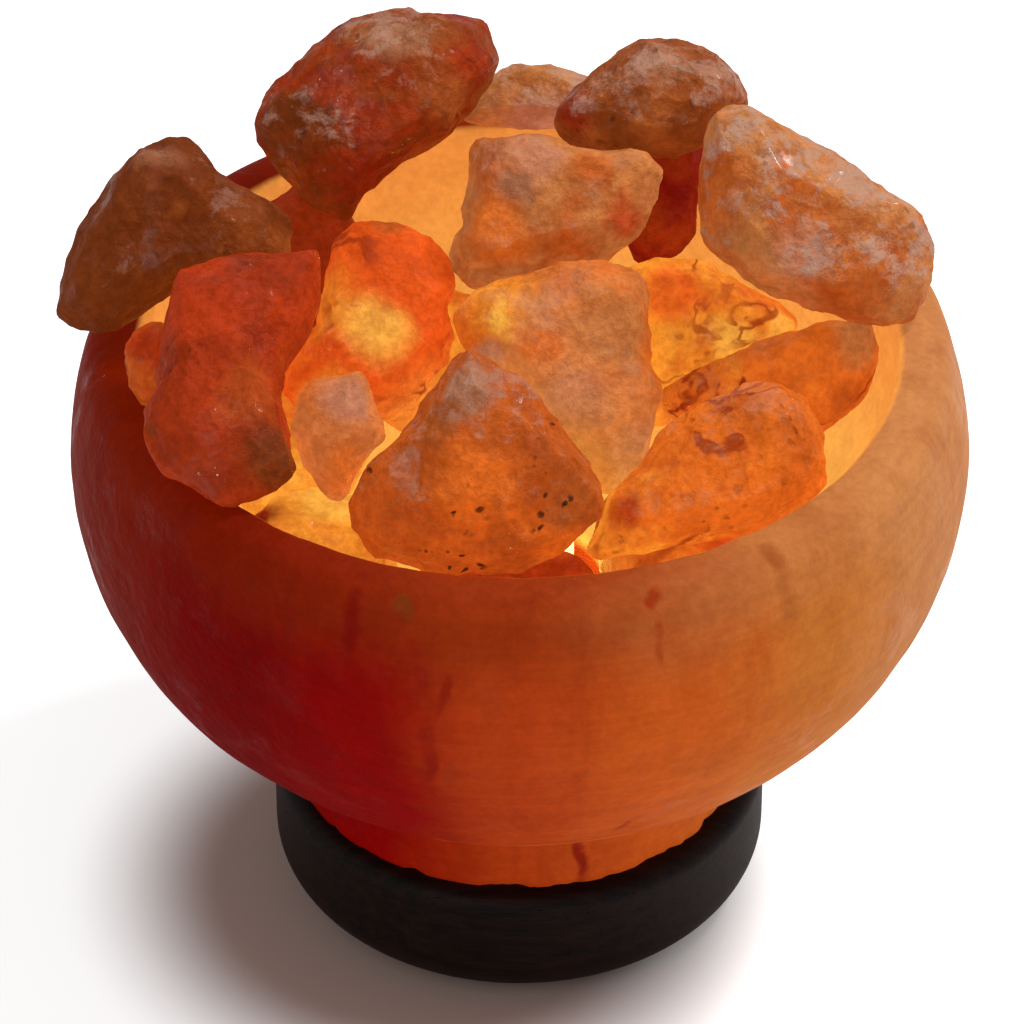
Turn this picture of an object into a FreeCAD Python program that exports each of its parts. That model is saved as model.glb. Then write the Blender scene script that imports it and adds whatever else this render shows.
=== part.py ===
import FreeCAD, Part
import math
import os
import Sketcher

# Salt crystal lamp: a turned bowl of rock salt on a dark wooden base, heaped with
# loose salt chunks and lit from inside by a small screw bulb, whose holder is
# pushed up through the base from below.
#
# Frame: millimetres, +Z up, origin at the centre of the resting face, front to -Y.

doc = FreeCAD.newDocument("salt_crystal_lamp")
Vector = FreeCAD.Vector

# ---------------------------------------------------------------------------
# Driving dimensions
# ---------------------------------------------------------------------------

LAMP_SIZES = [
    # the bowl
    ("bowl_radius", 101.5, "widest radius of the bowl"),
    ("bowl_widest_height", 121, "height of the widest ring"),
    ("ledge_height", 65.3, "height of the flat under the bowl's wall"),
    ("ledge_radius", 74.5, "radius at which the wall meets that flat"),
    ("ledge_round", 3, "rounding of the wall's lower edge"),
    ("foot_radius", 54.3, "radius of the salt foot under the bowl"),
    ("foot_corner", 7, "hollow corner between the foot and the wall"),
    ("foot_chamfer", 1.5, "chipped lower edge of the foot"),
    ("rim_height", 150.5, "height of the rim"),
    ("rim_inner_radius", 84.6, "radius of the mouth"),
    ("rim_outer_round", 7.5, "rounding of the rim outside"),
    ("rim_inner_round", 3, "rounding of the rim inside"),
    ("cavity_depth", 65.5, "depth of the cavity below the rim"),
    ("cavity_curve", 50, "radius between the cavity's floor and its wall"),
    ("bore_radius", 19, "radius of the bore for the bulb holder"),
    # the base
    ("pad_thickness", 2, "felt pads under the base"),
    ("pad_radius", 7, "felt pad radius"),
    ("pad_circle", 36, "radius of the ring on which the pads sit"),
    ("base_height", 31.4, "height of the wooden base"),
    ("base_radius", 57.5, "radius of the wooden base"),
    ("base_top_round", 4, "rounding of the base's upper edge"),
    ("base_bottom_round", 12, "rounding of the base's lower edge"),
    ("channel_width", 9, "width of the cord channel under the base"),
    ("channel_depth", 8, "depth of the cord channel"),
    # what holds the bowl on the base
    ("screw_circle", 36, "radius of the ring of screws"),
    ("screw_radius", 1.9, "shank of a wood screw"),
    ("screw_hole_radius", 2.6, "hole for the shank in the base"),
    ("screw_head_radius", 4.2, "head of a wood screw"),
    ("screw_head_height", 2.6, "thickness of the head"),
    ("screw_head_recess", 6, "how deep the head sits in the base"),
    ("screw_head_space", 0.8, "room round the head"),
    ("screw_slot_width", 1, "slot in a screw's head"),
    ("screw_slot_depth", 1, "depth of the slot"),
    ("plug_radius", 4, "wall plug in the salt foot"),
    ("plug_length", 24, "length of the wall plug"),
    # the bulb holder
    ("holder_bottom", 14, "height of the holder's lower end"),
    ("holder_top", 72, "height of the holder's upper rim"),
    ("sleeve_radius", 14, "outer radius of the holder's sleeve"),
    ("sleeve_wall", 1.8, "wall of the sleeve"),
    ("holder_cap_height", 8, "height of the cap that closes the holder"),
    ("cap_spigot", 4, "how far the cap's spigot goes into the sleeve"),
    ("inlet_radius", 3.5, "hole for the cord"),
    ("clamp_length", 14, "cord clamp bar"),
    ("clamp_width", 4.4, "width of the clamp bar"),
    ("clamp_height", 3, "height of the clamp bar"),
    ("clamp_screw_spread", 8.4, "distance between the clamp's screws"),
    ("clamp_screw_depth", 5, "how far a clamp screw goes into the cap"),
    ("small_screw_radius", 1.2, "shank of a small screw"),
    ("small_head_radius", 2.1, "head of a small screw"),
    ("small_head_height", 1.2, "thickness of a small head"),
    ("core_height", 10, "height of the moulded core"),
    ("thread_shell_height", 19, "height of the screw shell"),
    ("thread_shell_wall", 0.5, "wall of the screw shell"),
    ("centre_contact_radius", 3, "button of the centre contact"),
    ("centre_contact_height", 1.2, "thickness of the button"),
    ("centre_rivet_radius", 1.2, "rivet under the button"),
    ("terminal_width", 6, "terminal block, across"),
    ("terminal_depth", 7, "terminal block, front to back"),
    ("terminal_height", 7, "terminal block, height"),
    ("terminal_spread", 12, "distance between the terminal blocks"),
    ("terminal_screw_length", 6, "terminal screw under its head"),
    # the spring clips
    ("clip_width", 7, "width of a spring clip"),
    ("clip_thickness", 0.5, "thickness of the spring steel"),
    ("clip_foot_height", 4, "straight foot of a clip"),
    ("clip_rise", 27, "height of the sprung wing"),
    ("clip_tip", 2.5, "height of the bent tip"),
    ("clip_bottom", 24, "height of a clip's lower end"),
    # the bulb
    ("bulb_cap_radius", 6.95, "screw cap of the bulb"),
    ("bulb_cap_wall", 0.4, "wall of the screw cap"),
    ("bulb_cap_height", 17, "height of the screw cap"),
    ("solder_radius", 2.2, "solder contact of the bulb"),
    ("solder_height", 1.6, "height of the solder contact"),
    ("insulator_height", 2.4, "black glass at the end of the cap"),
    ("bulb_radius", 12.5, "radius of the glass"),
    ("bulb_neck_height", 9, "glass from the cap to the round part"),
    ("bulb_straight_height", 10, "straight side of the glass"),
    ("glass_wall", 0.7, "thickness of the glass"),
    ("stem_radius", 2.8, "glass stem that carries the filament"),
    ("stem_flare", 1.2, "thickness of the stem's foot"),
    ("stem_height", 20, "height of the stem"),
    ("lead_radius", 0.35, "lead wire"),
    ("lead_spread", 4.4, "distance between the lead wires"),
    ("lead_height", 9, "lead wire above the stem"),
    # clearances
    ("running_gap", 0.3, "between pieces that move past each other"),
    ("contact_gap", 0.2, "between the bulb's contact and the holder's"),
    ("seat_gap", 0.35, "between a chunk and what it rests on"),
    ("bulb_travel", 9.9, "how far the bulb rises as it is unscrewed"),
    ("bulb_room", 3, "free space round the bulb"),
    ("sight_tilt", 37.7, "how far the front view looks down, in degrees"),
]

# Each chunk: the outline of its broad face with the corners in order, then what is
# set by itself: how wide it is, how far it stands out in front of the outline and
# behind it, where its middle lies in the bowl or on its rim, and how far the face
# leans back.
# The outlines of the bed are drawn from above, the others as the front view sees them.
# front_face and back_face are (share of the outline's size, shift right, shift up),
# the shifts as shares of the chunk's width.

CHUNKS = {}


def chunk(name, outline, width, front, back, place, front_face, back_face, lean=37.7, on_rim=False):
    CHUNKS[name] = {
        "outline": outline,
        "front_face": front_face,
        "back_face": back_face,
        "on_rim": on_rim,
    }
    LAMP_SIZES.append((name + "_width", width, "chunk, side to side"))
    LAMP_SIZES.append((name + "_front", front, "chunk, in front of its outline"))
    LAMP_SIZES.append((name + "_back", back, "chunk, behind its outline"))
    if on_rim:
        LAMP_SIZES.append((name + "_out", place[0], "chunk on the rim, outwards from the mouth"))
        LAMP_SIZES.append((name + "_bearing", place[1], "chunk on the rim, degrees round it from the right"))
    else:
        LAMP_SIZES.append((name + "_across", place[0], "chunk, to the right of the middle"))
        LAMP_SIZES.append((name + "_behind", place[1], "chunk, behind the middle"))
    LAMP_SIZES.append((name + "_lean", lean, "chunk, lean of its broad face, in degrees"))


chunk("bed_front", [(0, 9), (6, 2), (19, 0), (33, 3), (42, 11), (40, 24), (28, 33), (12, 31), (3, 22)],
      46, 21, 12, (-2, -49), (0.5, 0.12, 0.03), (0.5, -0.04, 0.05), lean=90)
chunk("bed_front_right", [(0, 12), (9, 2), (24, 0), (37, 6), (41, 20), (34, 33), (17, 37), (4, 28)],
      42, 14, 13, (38, -34), (0.6, -0.05, 0.06), (0.5, 0.05, -0.03), lean=90)
chunk("bed_right", [(2, 8), (13, 0), (29, 3), (38, 14), (36, 30), (25, 41), (8, 38), (0, 24)],
      38, 13, 13, (51, 9), (0.5, -0.06, -0.04), (0.55, -0.05, 0.02), lean=90)
chunk("bed_back_right", [(0, 14), (7, 3), (22, 0), (36, 5), (44, 17), (38, 31), (20, 36), (6, 29)],
      42, 13, 13, (28, 46), (0.55, 0.04, -0.06), (0.5, 0.03, 0.04), lean=90)
chunk("bed_back_left", [(0, 10), (11, 0), (27, 2), (40, 10), (42, 25), (30, 36), (13, 35), (2, 24)],
      43, 15, 13, (-20, 48), (0.6, 0.05, 0.02), (0.5, -0.06, -0.02), lean=90)
chunk("bed_left", [(3, 4), (18, 0), (33, 5), (39, 19), (34, 36), (20, 43), (5, 37), (0, 20)],
      37, 13, 13, (-52, 14), (0.5, 0.07, 0.04), (0.55, 0.04, -0.05), lean=90)
chunk("bed_front_left", [(0, 16), (8, 4), (23, 0), (38, 7), (41, 21), (32, 34), (15, 38), (3, 29)],
      41, 13, 13, (-47, -33), (0.55, 0.05, 0.07), (0.5, 0.03, 0.03), lean=90)

chunk("right_inner", [(612, 270), (650, 256), (700, 258), (742, 285), (800, 318), (796, 340), (750, 358),
                      (700, 385), (658, 396), (640, 350), (620, 305)],
      43, 9, 9, (43, 32), (0.6, -0.05, 0.05), (0.5, 0.04, -0.04))
chunk("back_right_low", [(632, 120), (665, 106), (702, 110), (714, 150), (702, 190), (699, 223), (680, 243),
                         (652, 257), (630, 248), (622, 205), (634, 165)],
      21, 8, 9, (34, 63), (0.55, 0.05, 0.06), (0.55, 0.0, -0.05))
chunk("back_left_low", [(256, 196), (285, 176), (330, 190), (356, 222), (350, 280), (334, 340), (304, 362),
                        (270, 344), (255, 270)],
      25, 8, 9, (-47, 42), (0.6, 0.02, 0.06), (0.5, 0.02, 0.1))
chunk("inner_left_low", [(298, 394), (312, 380), (364, 371), (377, 405), (388, 437), (368, 460), (352, 482),
                         (346, 503), (328, 502), (304, 468), (290, 432)],
      22, 8, 9, (-40, -21), (0.55, -0.04, 0.12), (0.6, 0.0, 0.0))
chunk("right_wedge", [(745, 345), (798, 330), (838, 316), (880, 318), (885, 350), (872, 392), (846, 424),
                      (815, 446), (740, 444), (668, 422), (655, 394), (690, 370)],
      52, 9, 11, (56, 6), (0.6, -0.02, 0.04), (0.6, -0.03, -0.02))
chunk("centre", [(605, 262), (640, 270), (649, 300), (650, 367), (662, 399), (655, 439), (639, 474),
                 (617, 498), (586, 498), (540, 470), (490, 400), (458, 350), (447, 315), (461, 296),
                 (511, 280), (574, 267)],
      49, 11, 10, (8, 3), (0.55, 0.10, 0.04), (0.55, 0.0, 0.16))
chunk("inner_left", [(352, 216), (388, 216), (420, 224), (441, 245), (460, 283), (450, 305), (455, 336),
                     (449, 364), (430, 386), (417, 410), (395, 425), (340, 420), (300, 412), (280, 396),
                     (286, 370), (300, 340), (316, 325), (326, 275), (334, 238)],
      41, 11, 10, (-34, 20), (0.55, 0.02, -0.02), (0.6, 0.0, -0.02))
chunk("left_rim", [(122, 348), (134, 328), (162, 321), (166, 345), (165, 400), (140, 401), (126, 382)],
      10.5, 4, 5, (0, 194.4), (0.6, 0.0, 0.0), (0.6, 0.05, 0.0), on_rim=True)
chunk("left_front", [(168, 270), (230, 250), (325, 238), (326, 285), (312, 325), (290, 360), (281, 400),
                     (294, 446), (308, 485), (272, 498), (235, 514), (196, 498), (165, 477), (143, 440),
                     (145, 415), (158, 390), (160, 330)],
      39, 12, 10, (-12.9, 210.1), (0.55, -0.05, 0.0), (0.5, 0.12, 0.1), lean=66, on_rim=True)
chunk("right_front", [(660, 430), (700, 408), (742, 384), (785, 387), (808, 400), (819, 425), (824, 466),
                      (820, 492), (798, 513), (758, 533), (698, 542), (639, 553), (588, 560), (594, 522),
                      (607, 495), (640, 470)],
      54, 11, 13, (41, -36), (0.55, 0.05, 0.03), (0.6, 0.0, -0.02))
chunk("front", [(464, 346), (485, 356), (530, 392), (555, 421), (580, 458), (600, 485), (605, 505),
                (586, 536), (558, 555), (524, 567), (480, 575), (417, 572), (377, 561), (355, 533),
                (349, 500), (358, 478), (377, 455), (405, 433), (425, 405), (446, 371)],
      58, 14, 15, (-9, -40), (0.5, 0.0, 0.09), (0.6, 0.0, 0.0))
chunk("back", [(452, 125), (470, 85), (500, 62), (540, 58), (576, 72), (615, 88), (645, 112), (600, 130),
               (540, 131), (490, 130)],
      43, 8, 12, (-4.3, 85), (0.55, -0.03, 0.02), (0.6, 0.0, 0.0), on_rim=True)
chunk("centre_top", [(470, 140), (500, 134), (547, 130), (571, 143), (611, 148), (640, 145), (665, 161),
                     (660, 185), (655, 215), (639, 231), (623, 255), (607, 265), (571, 273), (519, 282),
                     (480, 290), (460, 286), (446, 245), (462, 225), (460, 190)],
      50, 12, 14, (8, 33), (0.55, -0.04, 0.05), (0.6, 0.0, 0.0))
chunk("right_top", [(700, 150), (714, 103), (750, 98), (798, 127), (846, 153), (889, 179), (915, 199),
                    (931, 240), (935, 275), (924, 303), (900, 326), (850, 316), (782, 294), (742, 271),
                    (698, 238), (696, 205)],
      54, 14, 16, (-16.7, 13.6), (0.55, -0.04, -0.05), (0.6, 0.0, 0.0), on_rim=True)
chunk("back_right", [(552, 107), (560, 94), (579, 76), (621, 44), (650, 28), (678, 34), (702, 36),
                     (724, 48), (742, 68), (753, 100), (735, 125), (702, 146), (650, 156), (615, 149),
                     (571, 139), (553, 123)],
      46, 12, 14, (30, 57), (0.55, 0.06, 0.0), (0.6, 0.0, 0.0))
chunk("back_left", [(246, 131), (258, 105), (313, 42), (350, 14), (392, 9), (418, 12), (462, 8),
                    (488, 24), (501, 52), (494, 80), (464, 127), (402, 166), (362, 199), (345, 224),
                    (310, 208), (283, 184), (262, 152)],
      58, 14, 16, (-33, 53), (0.55, 0.02, 0.03), (0.6, 0.0, 0.0))
chunk("left_top", [(47, 305), (60, 327), (98, 333), (137, 315), (170, 290), (230, 283), (288, 277),
                   (294, 246), (278, 208), (215, 170), (185, 138), (160, 133), (138, 139), (125, 160),
                   (92, 192), (75, 235)],
      56, 12, 14, (-7.4, 172.6), (0.55, 0.0, 0.03), (0.6, 0.0, 0.0), on_rim=True)

sheet = doc.addObject("Spreadsheet::Sheet", "Sizes")
for row, (alias, number, note) in enumerate(LAMP_SIZES, start=1):
    sheet.set("A%d" % row, alias)
    sheet.set("B%d" % row, str(number))
    sheet.set("C%d" % row, note)
    sheet.setAlias("B%d" % row, alias)
doc.recompute()


class Size:
    """A length that knows both its number and the sheet formula that it comes from."""

    def __init__(self, value, formula):
        self.value = float(value)
        self.formula = formula

    @staticmethod
    def of(other):
        return other if isinstance(other, Size) else Size(other, repr(float(other)))

    def __add__(self, other):
        other = Size.of(other)
        return Size(self.value + other.value, "(%s + %s)" % (self.formula, other.formula))

    def __sub__(self, other):
        other = Size.of(other)
        return Size(self.value - other.value, "(%s - %s)" % (self.formula, other.formula))

    def __mul__(self, other):
        other = Size.of(other)
        return Size(self.value * other.value, "(%s * %s)" % (self.formula, other.formula))

    def __truediv__(self, other):
        other = Size.of(other)
        return Size(self.value / other.value, "(%s / %s)" % (self.formula, other.formula))

    def __neg__(self):
        return Size(-self.value, "(0 - %s)" % self.formula)

    def root(self):
        return Size(math.sqrt(self.value), "sqrt(%s)" % self.formula)

    def at_most(self, other):
        return Size(min(self.value, other.value), "min(%s; %s)" % (self.formula, other.formula))


def size(alias):
    return Size(getattr(sheet, alias), "Sizes." + alias)


# Sizes that more than one piece shares
ZERO = Size(0, "0")
base_bottom = size("pad_thickness")
base_top = base_bottom + size("base_height")
foot_bottom = base_top
rim = size("rim_height")
cavity_floor = rim - size("cavity_depth")
cavity_curve_height = cavity_floor + size("cavity_curve")
wall_swell = size("bowl_radius") - size("ledge_radius")
wall_rise = size("bowl_widest_height") - size("ledge_height")
wall_curve_size = (wall_rise * wall_rise + wall_swell * wall_swell) / (wall_swell * 2)
wall_curve_centre = size("bowl_radius") - wall_curve_size
sleeve_inner = size("sleeve_radius") - size("sleeve_wall")
sleeve_bottom = size("holder_bottom") + size("holder_cap_height")
shell_inner = size("bulb_cap_radius") + size("running_gap")
shell_outer = shell_inner + size("thread_shell_wall")
shell_bottom = size("holder_top") - size("thread_shell_height")
core_bottom = shell_bottom - size("core_height")
solder_bottom = shell_bottom + size("centre_contact_height") + size("contact_gap")
insulator_bottom = solder_bottom + size("solder_height")
cap_bottom = insulator_bottom
cap_top = cap_bottom + size("bulb_cap_height")
cap_inner = size("bulb_cap_radius") - size("bulb_cap_wall")
glass_bottom = cap_bottom + size("bulb_cap_height") / 2
round_bottom = cap_top + size("bulb_neck_height")
dome_centre = round_bottom + size("bulb_straight_height")
bulb_top = dome_centre + size("bulb_radius")
stem_bottom = glass_bottom
stem_top = stem_bottom + size("stem_height")
lead_top = stem_top + size("lead_height")

# ---------------------------------------------------------------------------
# Ways of making a piece
# ---------------------------------------------------------------------------

made = []


def keep(piece, name):
    """The piece gets the name that its file will have."""
    piece.Label = name
    made.append(piece)
    return piece


def origin_plane(body, role):
    for feature in body.Origin.OriginFeatures:
        if feature.Role == role:
            return feature
    raise ValueError(role)


def new_body(name, across=ZERO, behind=ZERO, up=ZERO):
    body = doc.addObject("PartDesign::Body", name)
    for key, place in (("x", across), ("y", behind), ("z", up)):
        body.setExpression("Placement.Base." + key, place.formula)
    return body


def sketch_on(body, role, name, up=None):
    sketch = body.newObject("Sketcher::SketchObject", name)
    sketch.AttachmentSupport = [(origin_plane(body, role), "")]
    sketch.MapMode = "FlatFace"
    if up is not None:
        sketch.setExpression("AttachmentOffset.Base.z", up.formula)
    return sketch


def fix(sketch, kind, where, place):
    """Hold one point of the sketch at a distance from the origin, or on an axis."""
    if place is ZERO:
        axis = -2 if kind == "DistanceX" else -1
        sketch.addConstraint(Sketcher.Constraint("PointOnObject", where[0], where[1], axis))
        return
    index = sketch.addConstraint(Sketcher.Constraint(kind, -1, 1, where[0], where[1], place.value))
    sketch.setExpression("Constraints[%d]" % index, place.formula)


def outline_in(sketch, corners):
    """A closed outline through the corners (x, y). A corner may carry an arc to the next
    one, as (x, y, (centre x, centre y)); a coordinate that the arc settles is a plain
    number, used only as a first guess."""
    count = len(corners)
    ends = []
    for i, corner in enumerate(corners):
        after = corners[(i + 1) % count]
        start = Vector(Size.of(corner[0]).value, Size.of(corner[1]).value, 0)
        end = Vector(Size.of(after[0]).value, Size.of(after[1]).value, 0)
        ends.append((1, 2))
        if len(corner) == 2:
            sketch.addGeometry(Part.LineSegment(start, end), False)
            continue
        centre = Vector(corner[2][0].value, corner[2][1].value, 0)
        first = math.atan2(start.y - centre.y, start.x - centre.x)
        last = math.atan2(end.y - centre.y, end.x - centre.x)
        if (last - first) % (2 * math.pi) > math.pi:
            first, last = last, first
            ends[i] = (2, 1)
        circle = Part.Circle(centre, Vector(0, 0, 1), (start - centre).Length)
        sketch.addGeometry(Part.ArcOfCircle(circle, first, last), False)
    for i in range(count):
        after = (i + 1) % count
        sketch.addConstraint(Sketcher.Constraint("Coincident", i, ends[i][1], after, ends[after][0]))
    for i, corner in enumerate(corners):
        if len(corner) == 3:
            fix(sketch, "DistanceX", (i, 3), corner[2][0])
            fix(sketch, "DistanceY", (i, 3), corner[2][1])
        if isinstance(corner[0], Size):
            fix(sketch, "DistanceX", (i, ends[i][0]), corner[0])
        if isinstance(corner[1], Size):
            fix(sketch, "DistanceY", (i, ends[i][0]), corner[1])


def revolve(body, corners, name="Turned"):
    """The corners are (radius, height), anticlockwise, turned about the body's upright axis."""
    sketch = sketch_on(body, "XZ_Plane", name + "Profile")
    outline_in(sketch, corners)
    turned = body.newObject("PartDesign::Revolution", name)
    turned.Profile = sketch
    turned.ReferenceAxis = (sketch, ["V_Axis"])
    turned.Angle = 360
    sketch.Visibility = False
    return turned


def turned_piece(name, corners, across=ZERO, behind=ZERO, up=ZERO):
    body = new_body(name, across, behind, up)
    revolve(body, corners)
    return body


def ring(inner, outer, low, high):
    return [(inner, low), (outer, low), (outer, high), (inner, high)]


def drill(body, name, across, behind, start, radius, depth):
    """A round hole upwards from the height start."""
    doc.recompute()
    before = body.Shape.Volume
    sketch = sketch_on(body, "XY_Plane", name + "Circle", start)
    centre = Vector(across.value, behind.value, 0)
    sketch.addGeometry(Part.Circle(centre, Vector(0, 0, 1), radius.value), False)
    index = sketch.addConstraint(Sketcher.Constraint("Radius", 0, radius.value))
    sketch.setExpression("Constraints[%d]" % index, radius.formula)
    fix(sketch, "DistanceX", (0, 3), across)
    fix(sketch, "DistanceY", (0, 3), behind)
    hole = body.newObject("PartDesign::Pocket", name)
    hole.Profile = sketch
    hole.setExpression("Length", depth.formula)
    hole.Reversed = True
    sketch.Visibility = False
    doc.recompute()
    if not body.Shape.Volume < before - 0.01:
        raise RuntimeError(name + " cuts nothing")
    return hole


def around(body, feature, name, copies):
    """Copies of a cut, evenly spaced about the upright axis."""
    pattern = body.newObject("PartDesign::PolarPattern", name)
    pattern.Originals = [feature]
    pattern.Axis = (origin_plane(body, "Z_Axis"), [""])
    pattern.Angle = 360
    pattern.Occurrences = copies
    body.Tip = pattern
    return pattern


def round_edges(body, name, height, radius_now, amount, chamfer=False):
    """Round the circular edges at one height whose radius lies nearest radius_now."""
    doc.recompute()
    feature = body.Tip
    edges = []
    for number, edge in enumerate(feature.Shape.Edges, start=1):
        curve = edge.Curve
        level = all(abs(v.Z - height) < 0.05 for v in edge.Vertexes)
        if isinstance(curve, Part.Circle) and level and abs(curve.Center.z - height) < 0.05:
            edges.append((abs(curve.Radius - radius_now), "Edge%d" % number))
    nearest = min(edges)[0]
    names = [edge for distance, edge in edges if distance < nearest + 0.01]
    kind = "PartDesign::Chamfer" if chamfer else "PartDesign::Fillet"
    rounded = body.newObject(kind, name)
    rounded.Base = (feature, names)
    rounded.setExpression("Size" if chamfer else "Radius", amount.formula)
    return rounded


def cylinder(name, radius, height, across=ZERO, behind=ZERO, up=ZERO):
    piece = doc.addObject("Part::Cylinder", name)
    piece.setExpression("Radius", radius.formula)
    piece.setExpression("Height", height.formula)
    for key, place in (("x", across), ("y", behind), ("z", up)):
        piece.setExpression("Placement.Base." + key, place.formula)
    return piece


def box(name, corner, sides):
    piece = doc.addObject("Part::Box", name)
    for side, length in zip(("Length", "Width", "Height"), sides):
        piece.setExpression(side, length.formula)
    for key, place in zip(("x", "y", "z"), corner):
        piece.setExpression("Placement.Base." + key, place.formula)
    return piece


def cut(name, base, tool):
    piece = doc.addObject("Part::Cut", name)
    piece.Base = base
    piece.Tool = tool
    return piece


def group(name, pieces):
    """Like pieces that share one file, as separate solids."""
    together = doc.addObject("Part::Compound", name)
    together.Links = pieces
    return together


# ---------------------------------------------------------------------------
# The bowl: one block of salt, turned outside and hollowed, with a foot below
# ---------------------------------------------------------------------------


def wall_radius(height):
    """Radius of the bowl's outer wall, a circle's arc, at a height."""
    above = height - size("bowl_widest_height")
    return wall_curve_centre + (wall_curve_size * wall_curve_size - above * above).root()


rim_outer_radius = wall_radius(rim)
rim_width = rim_outer_radius - size("rim_inner_radius")
cavity_flat = size("rim_inner_radius") - size("cavity_curve")
OUTER_SHARE = 0.7
INNER_SHARE = 0.28
rim_outside_round = size("rim_outer_round").at_most(rim_width * OUTER_SHARE)
rim_inside_round = size("rim_inner_round").at_most(rim_width * INNER_SHARE)

bowl = new_body("salt_bowl_body")
revolve(bowl, [
    (size("bore_radius"), foot_bottom),
    (size("foot_radius"), foot_bottom),
    (size("foot_radius"), size("ledge_height")),
    (size("ledge_radius"), size("ledge_height"), (wall_curve_centre, size("bowl_widest_height"))),
    (rim_outer_radius.value, rim),
    (size("rim_inner_radius"), rim),
    (size("rim_inner_radius"), cavity_curve_height, (cavity_flat, cavity_curve_height)),
    (cavity_flat, cavity_floor.value),
    (size("bore_radius"), cavity_floor),
])
round_edges(bowl, "LedgeRound", size("ledge_height").value, size("ledge_radius").value, size("ledge_round"))
round_edges(bowl, "FootCorner", size("ledge_height").value, size("foot_radius").value, size("foot_corner"))
round_edges(bowl, "FootChip", foot_bottom.value, size("foot_radius").value, size("foot_chamfer"),
            chamfer=True)
round_edges(bowl, "RimOutside", rim.value, rim_outer_radius.value, rim_outside_round)
round_edges(bowl, "RimInside", rim.value, size("rim_inner_radius").value, rim_inside_round)
plug_hole = drill(bowl, "PlugHole", ZERO, -size("screw_circle"), foot_bottom,
                  size("plug_radius"), size("plug_length"))
around(bowl, plug_hole, "PlugHoles", 3)
keep(bowl, "salt_bowl")

# ---------------------------------------------------------------------------
# The base: a turned disc of dark wood on felt pads, screwed up into the foot
# ---------------------------------------------------------------------------

base = new_body("base_body")
revolve(base, ring(size("bore_radius"), size("base_radius"), base_bottom, base_top))
round_edges(base, "TopRound", base_top.value, size("base_radius").value, size("base_top_round"))
round_edges(base, "BottomRound", base_bottom.value, size("base_radius").value, size("base_bottom_round"))
doc.recompute()
solid_base = base.Shape.Volume
channel_sketch = sketch_on(base, "XY_Plane", "ChannelOutline", base_bottom)
half_channel = size("channel_width") / 2
channel_end = size("base_radius") + size("channel_width")
outline_in(channel_sketch, [
    (-half_channel, ZERO),
    (half_channel, ZERO),
    (half_channel, channel_end),
    (-half_channel, channel_end),
])
channel = base.newObject("PartDesign::Pocket", "CordChannel")
channel.Profile = channel_sketch
channel.setExpression("Length", size("channel_depth").formula)
channel.Reversed = True
channel_sketch.Visibility = False
doc.recompute()
if not base.Shape.Volume < solid_base - 1:
    raise RuntimeError("the cord channel cuts nothing")
head_hole = drill(base, "HeadHole", ZERO, -size("screw_circle"), base_bottom,
                  size("screw_head_radius") + size("screw_head_space"), size("screw_head_recess"))
around(base, head_hole, "HeadHoles", 3)
shank_hole = drill(base, "ShankHole", ZERO, -size("screw_circle"), base_bottom,
                   size("screw_hole_radius"), size("base_height"))
around(base, shank_hole, "ShankHoles", 3)
keep(base, "base_disc")


def on_circle(circle, degrees):
    angle = math.radians(degrees)
    return circle * math.cos(angle), circle * math.sin(angle)


PAD_ANGLES = (60, 120, 210, 330)
pads = []
for degrees in PAD_ANGLES:
    across, behind = on_circle(size("pad_circle"), degrees)
    pads.append(cylinder("Pad%d" % degrees, size("pad_radius"), size("pad_thickness"), across, behind))
keep(group("Pads", pads), "base_pads")

SCREW_ANGLES = (30, 150, 270)
head_top = base_bottom + size("screw_head_recess")
head_bottom = head_top - size("screw_head_height")
screws = []
plugs = []
for degrees in SCREW_ANGLES:
    across, behind = on_circle(size("screw_circle"), degrees)
    screw = turned_piece("Screw%d" % degrees, [
        (ZERO, head_bottom),
        (size("screw_head_radius"), head_bottom),
        (size("screw_head_radius"), head_top),
        (size("screw_radius"), head_top),
        (size("screw_radius"), foot_bottom + size("plug_length")),
        (ZERO, foot_bottom + size("plug_length")),
    ], across, behind)
    half_slot = size("screw_slot_width") / 2
    slot_sketch = sketch_on(screw, "XY_Plane", "SlotOutline", head_bottom)
    outline_in(slot_sketch, [
        (-size("screw_head_radius"), -half_slot),
        (size("screw_head_radius"), -half_slot),
        (size("screw_head_radius"), half_slot),
        (-size("screw_head_radius"), half_slot),
    ])
    slot = screw.newObject("PartDesign::Pocket", "Slot")
    slot.Profile = slot_sketch
    slot.setExpression("Length", size("screw_slot_depth").formula)
    slot.Reversed = True
    slot_sketch.Visibility = False
    screws.append(screw)
    plugs.append(turned_piece("Plug%d" % degrees, ring(
        size("screw_radius"), size("plug_radius"), foot_bottom,
        foot_bottom + size("plug_length")), across, behind))
keep(group("Screws", screws), "foot_screws")
keep(group("Plugs", plugs), "foot_plugs")

# ---------------------------------------------------------------------------
# The bulb holder: a sleeve with the screw shell, closed below by a cap
# ---------------------------------------------------------------------------

keep(turned_piece("Sleeve", ring(sleeve_inner, size("sleeve_radius"), sleeve_bottom,
                                 size("holder_top"))), "holder_sleeve")

spigot_top = sleeve_bottom + size("cap_spigot")
clamp_top = spigot_top + size("clamp_height")
clamp_front = size("inlet_radius") + size("running_gap")
clamp_middle = clamp_front + size("clamp_width") / 2
half_spread = size("clamp_screw_spread") / 2
cap_screw_bottom = spigot_top - size("clamp_screw_depth")

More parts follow.
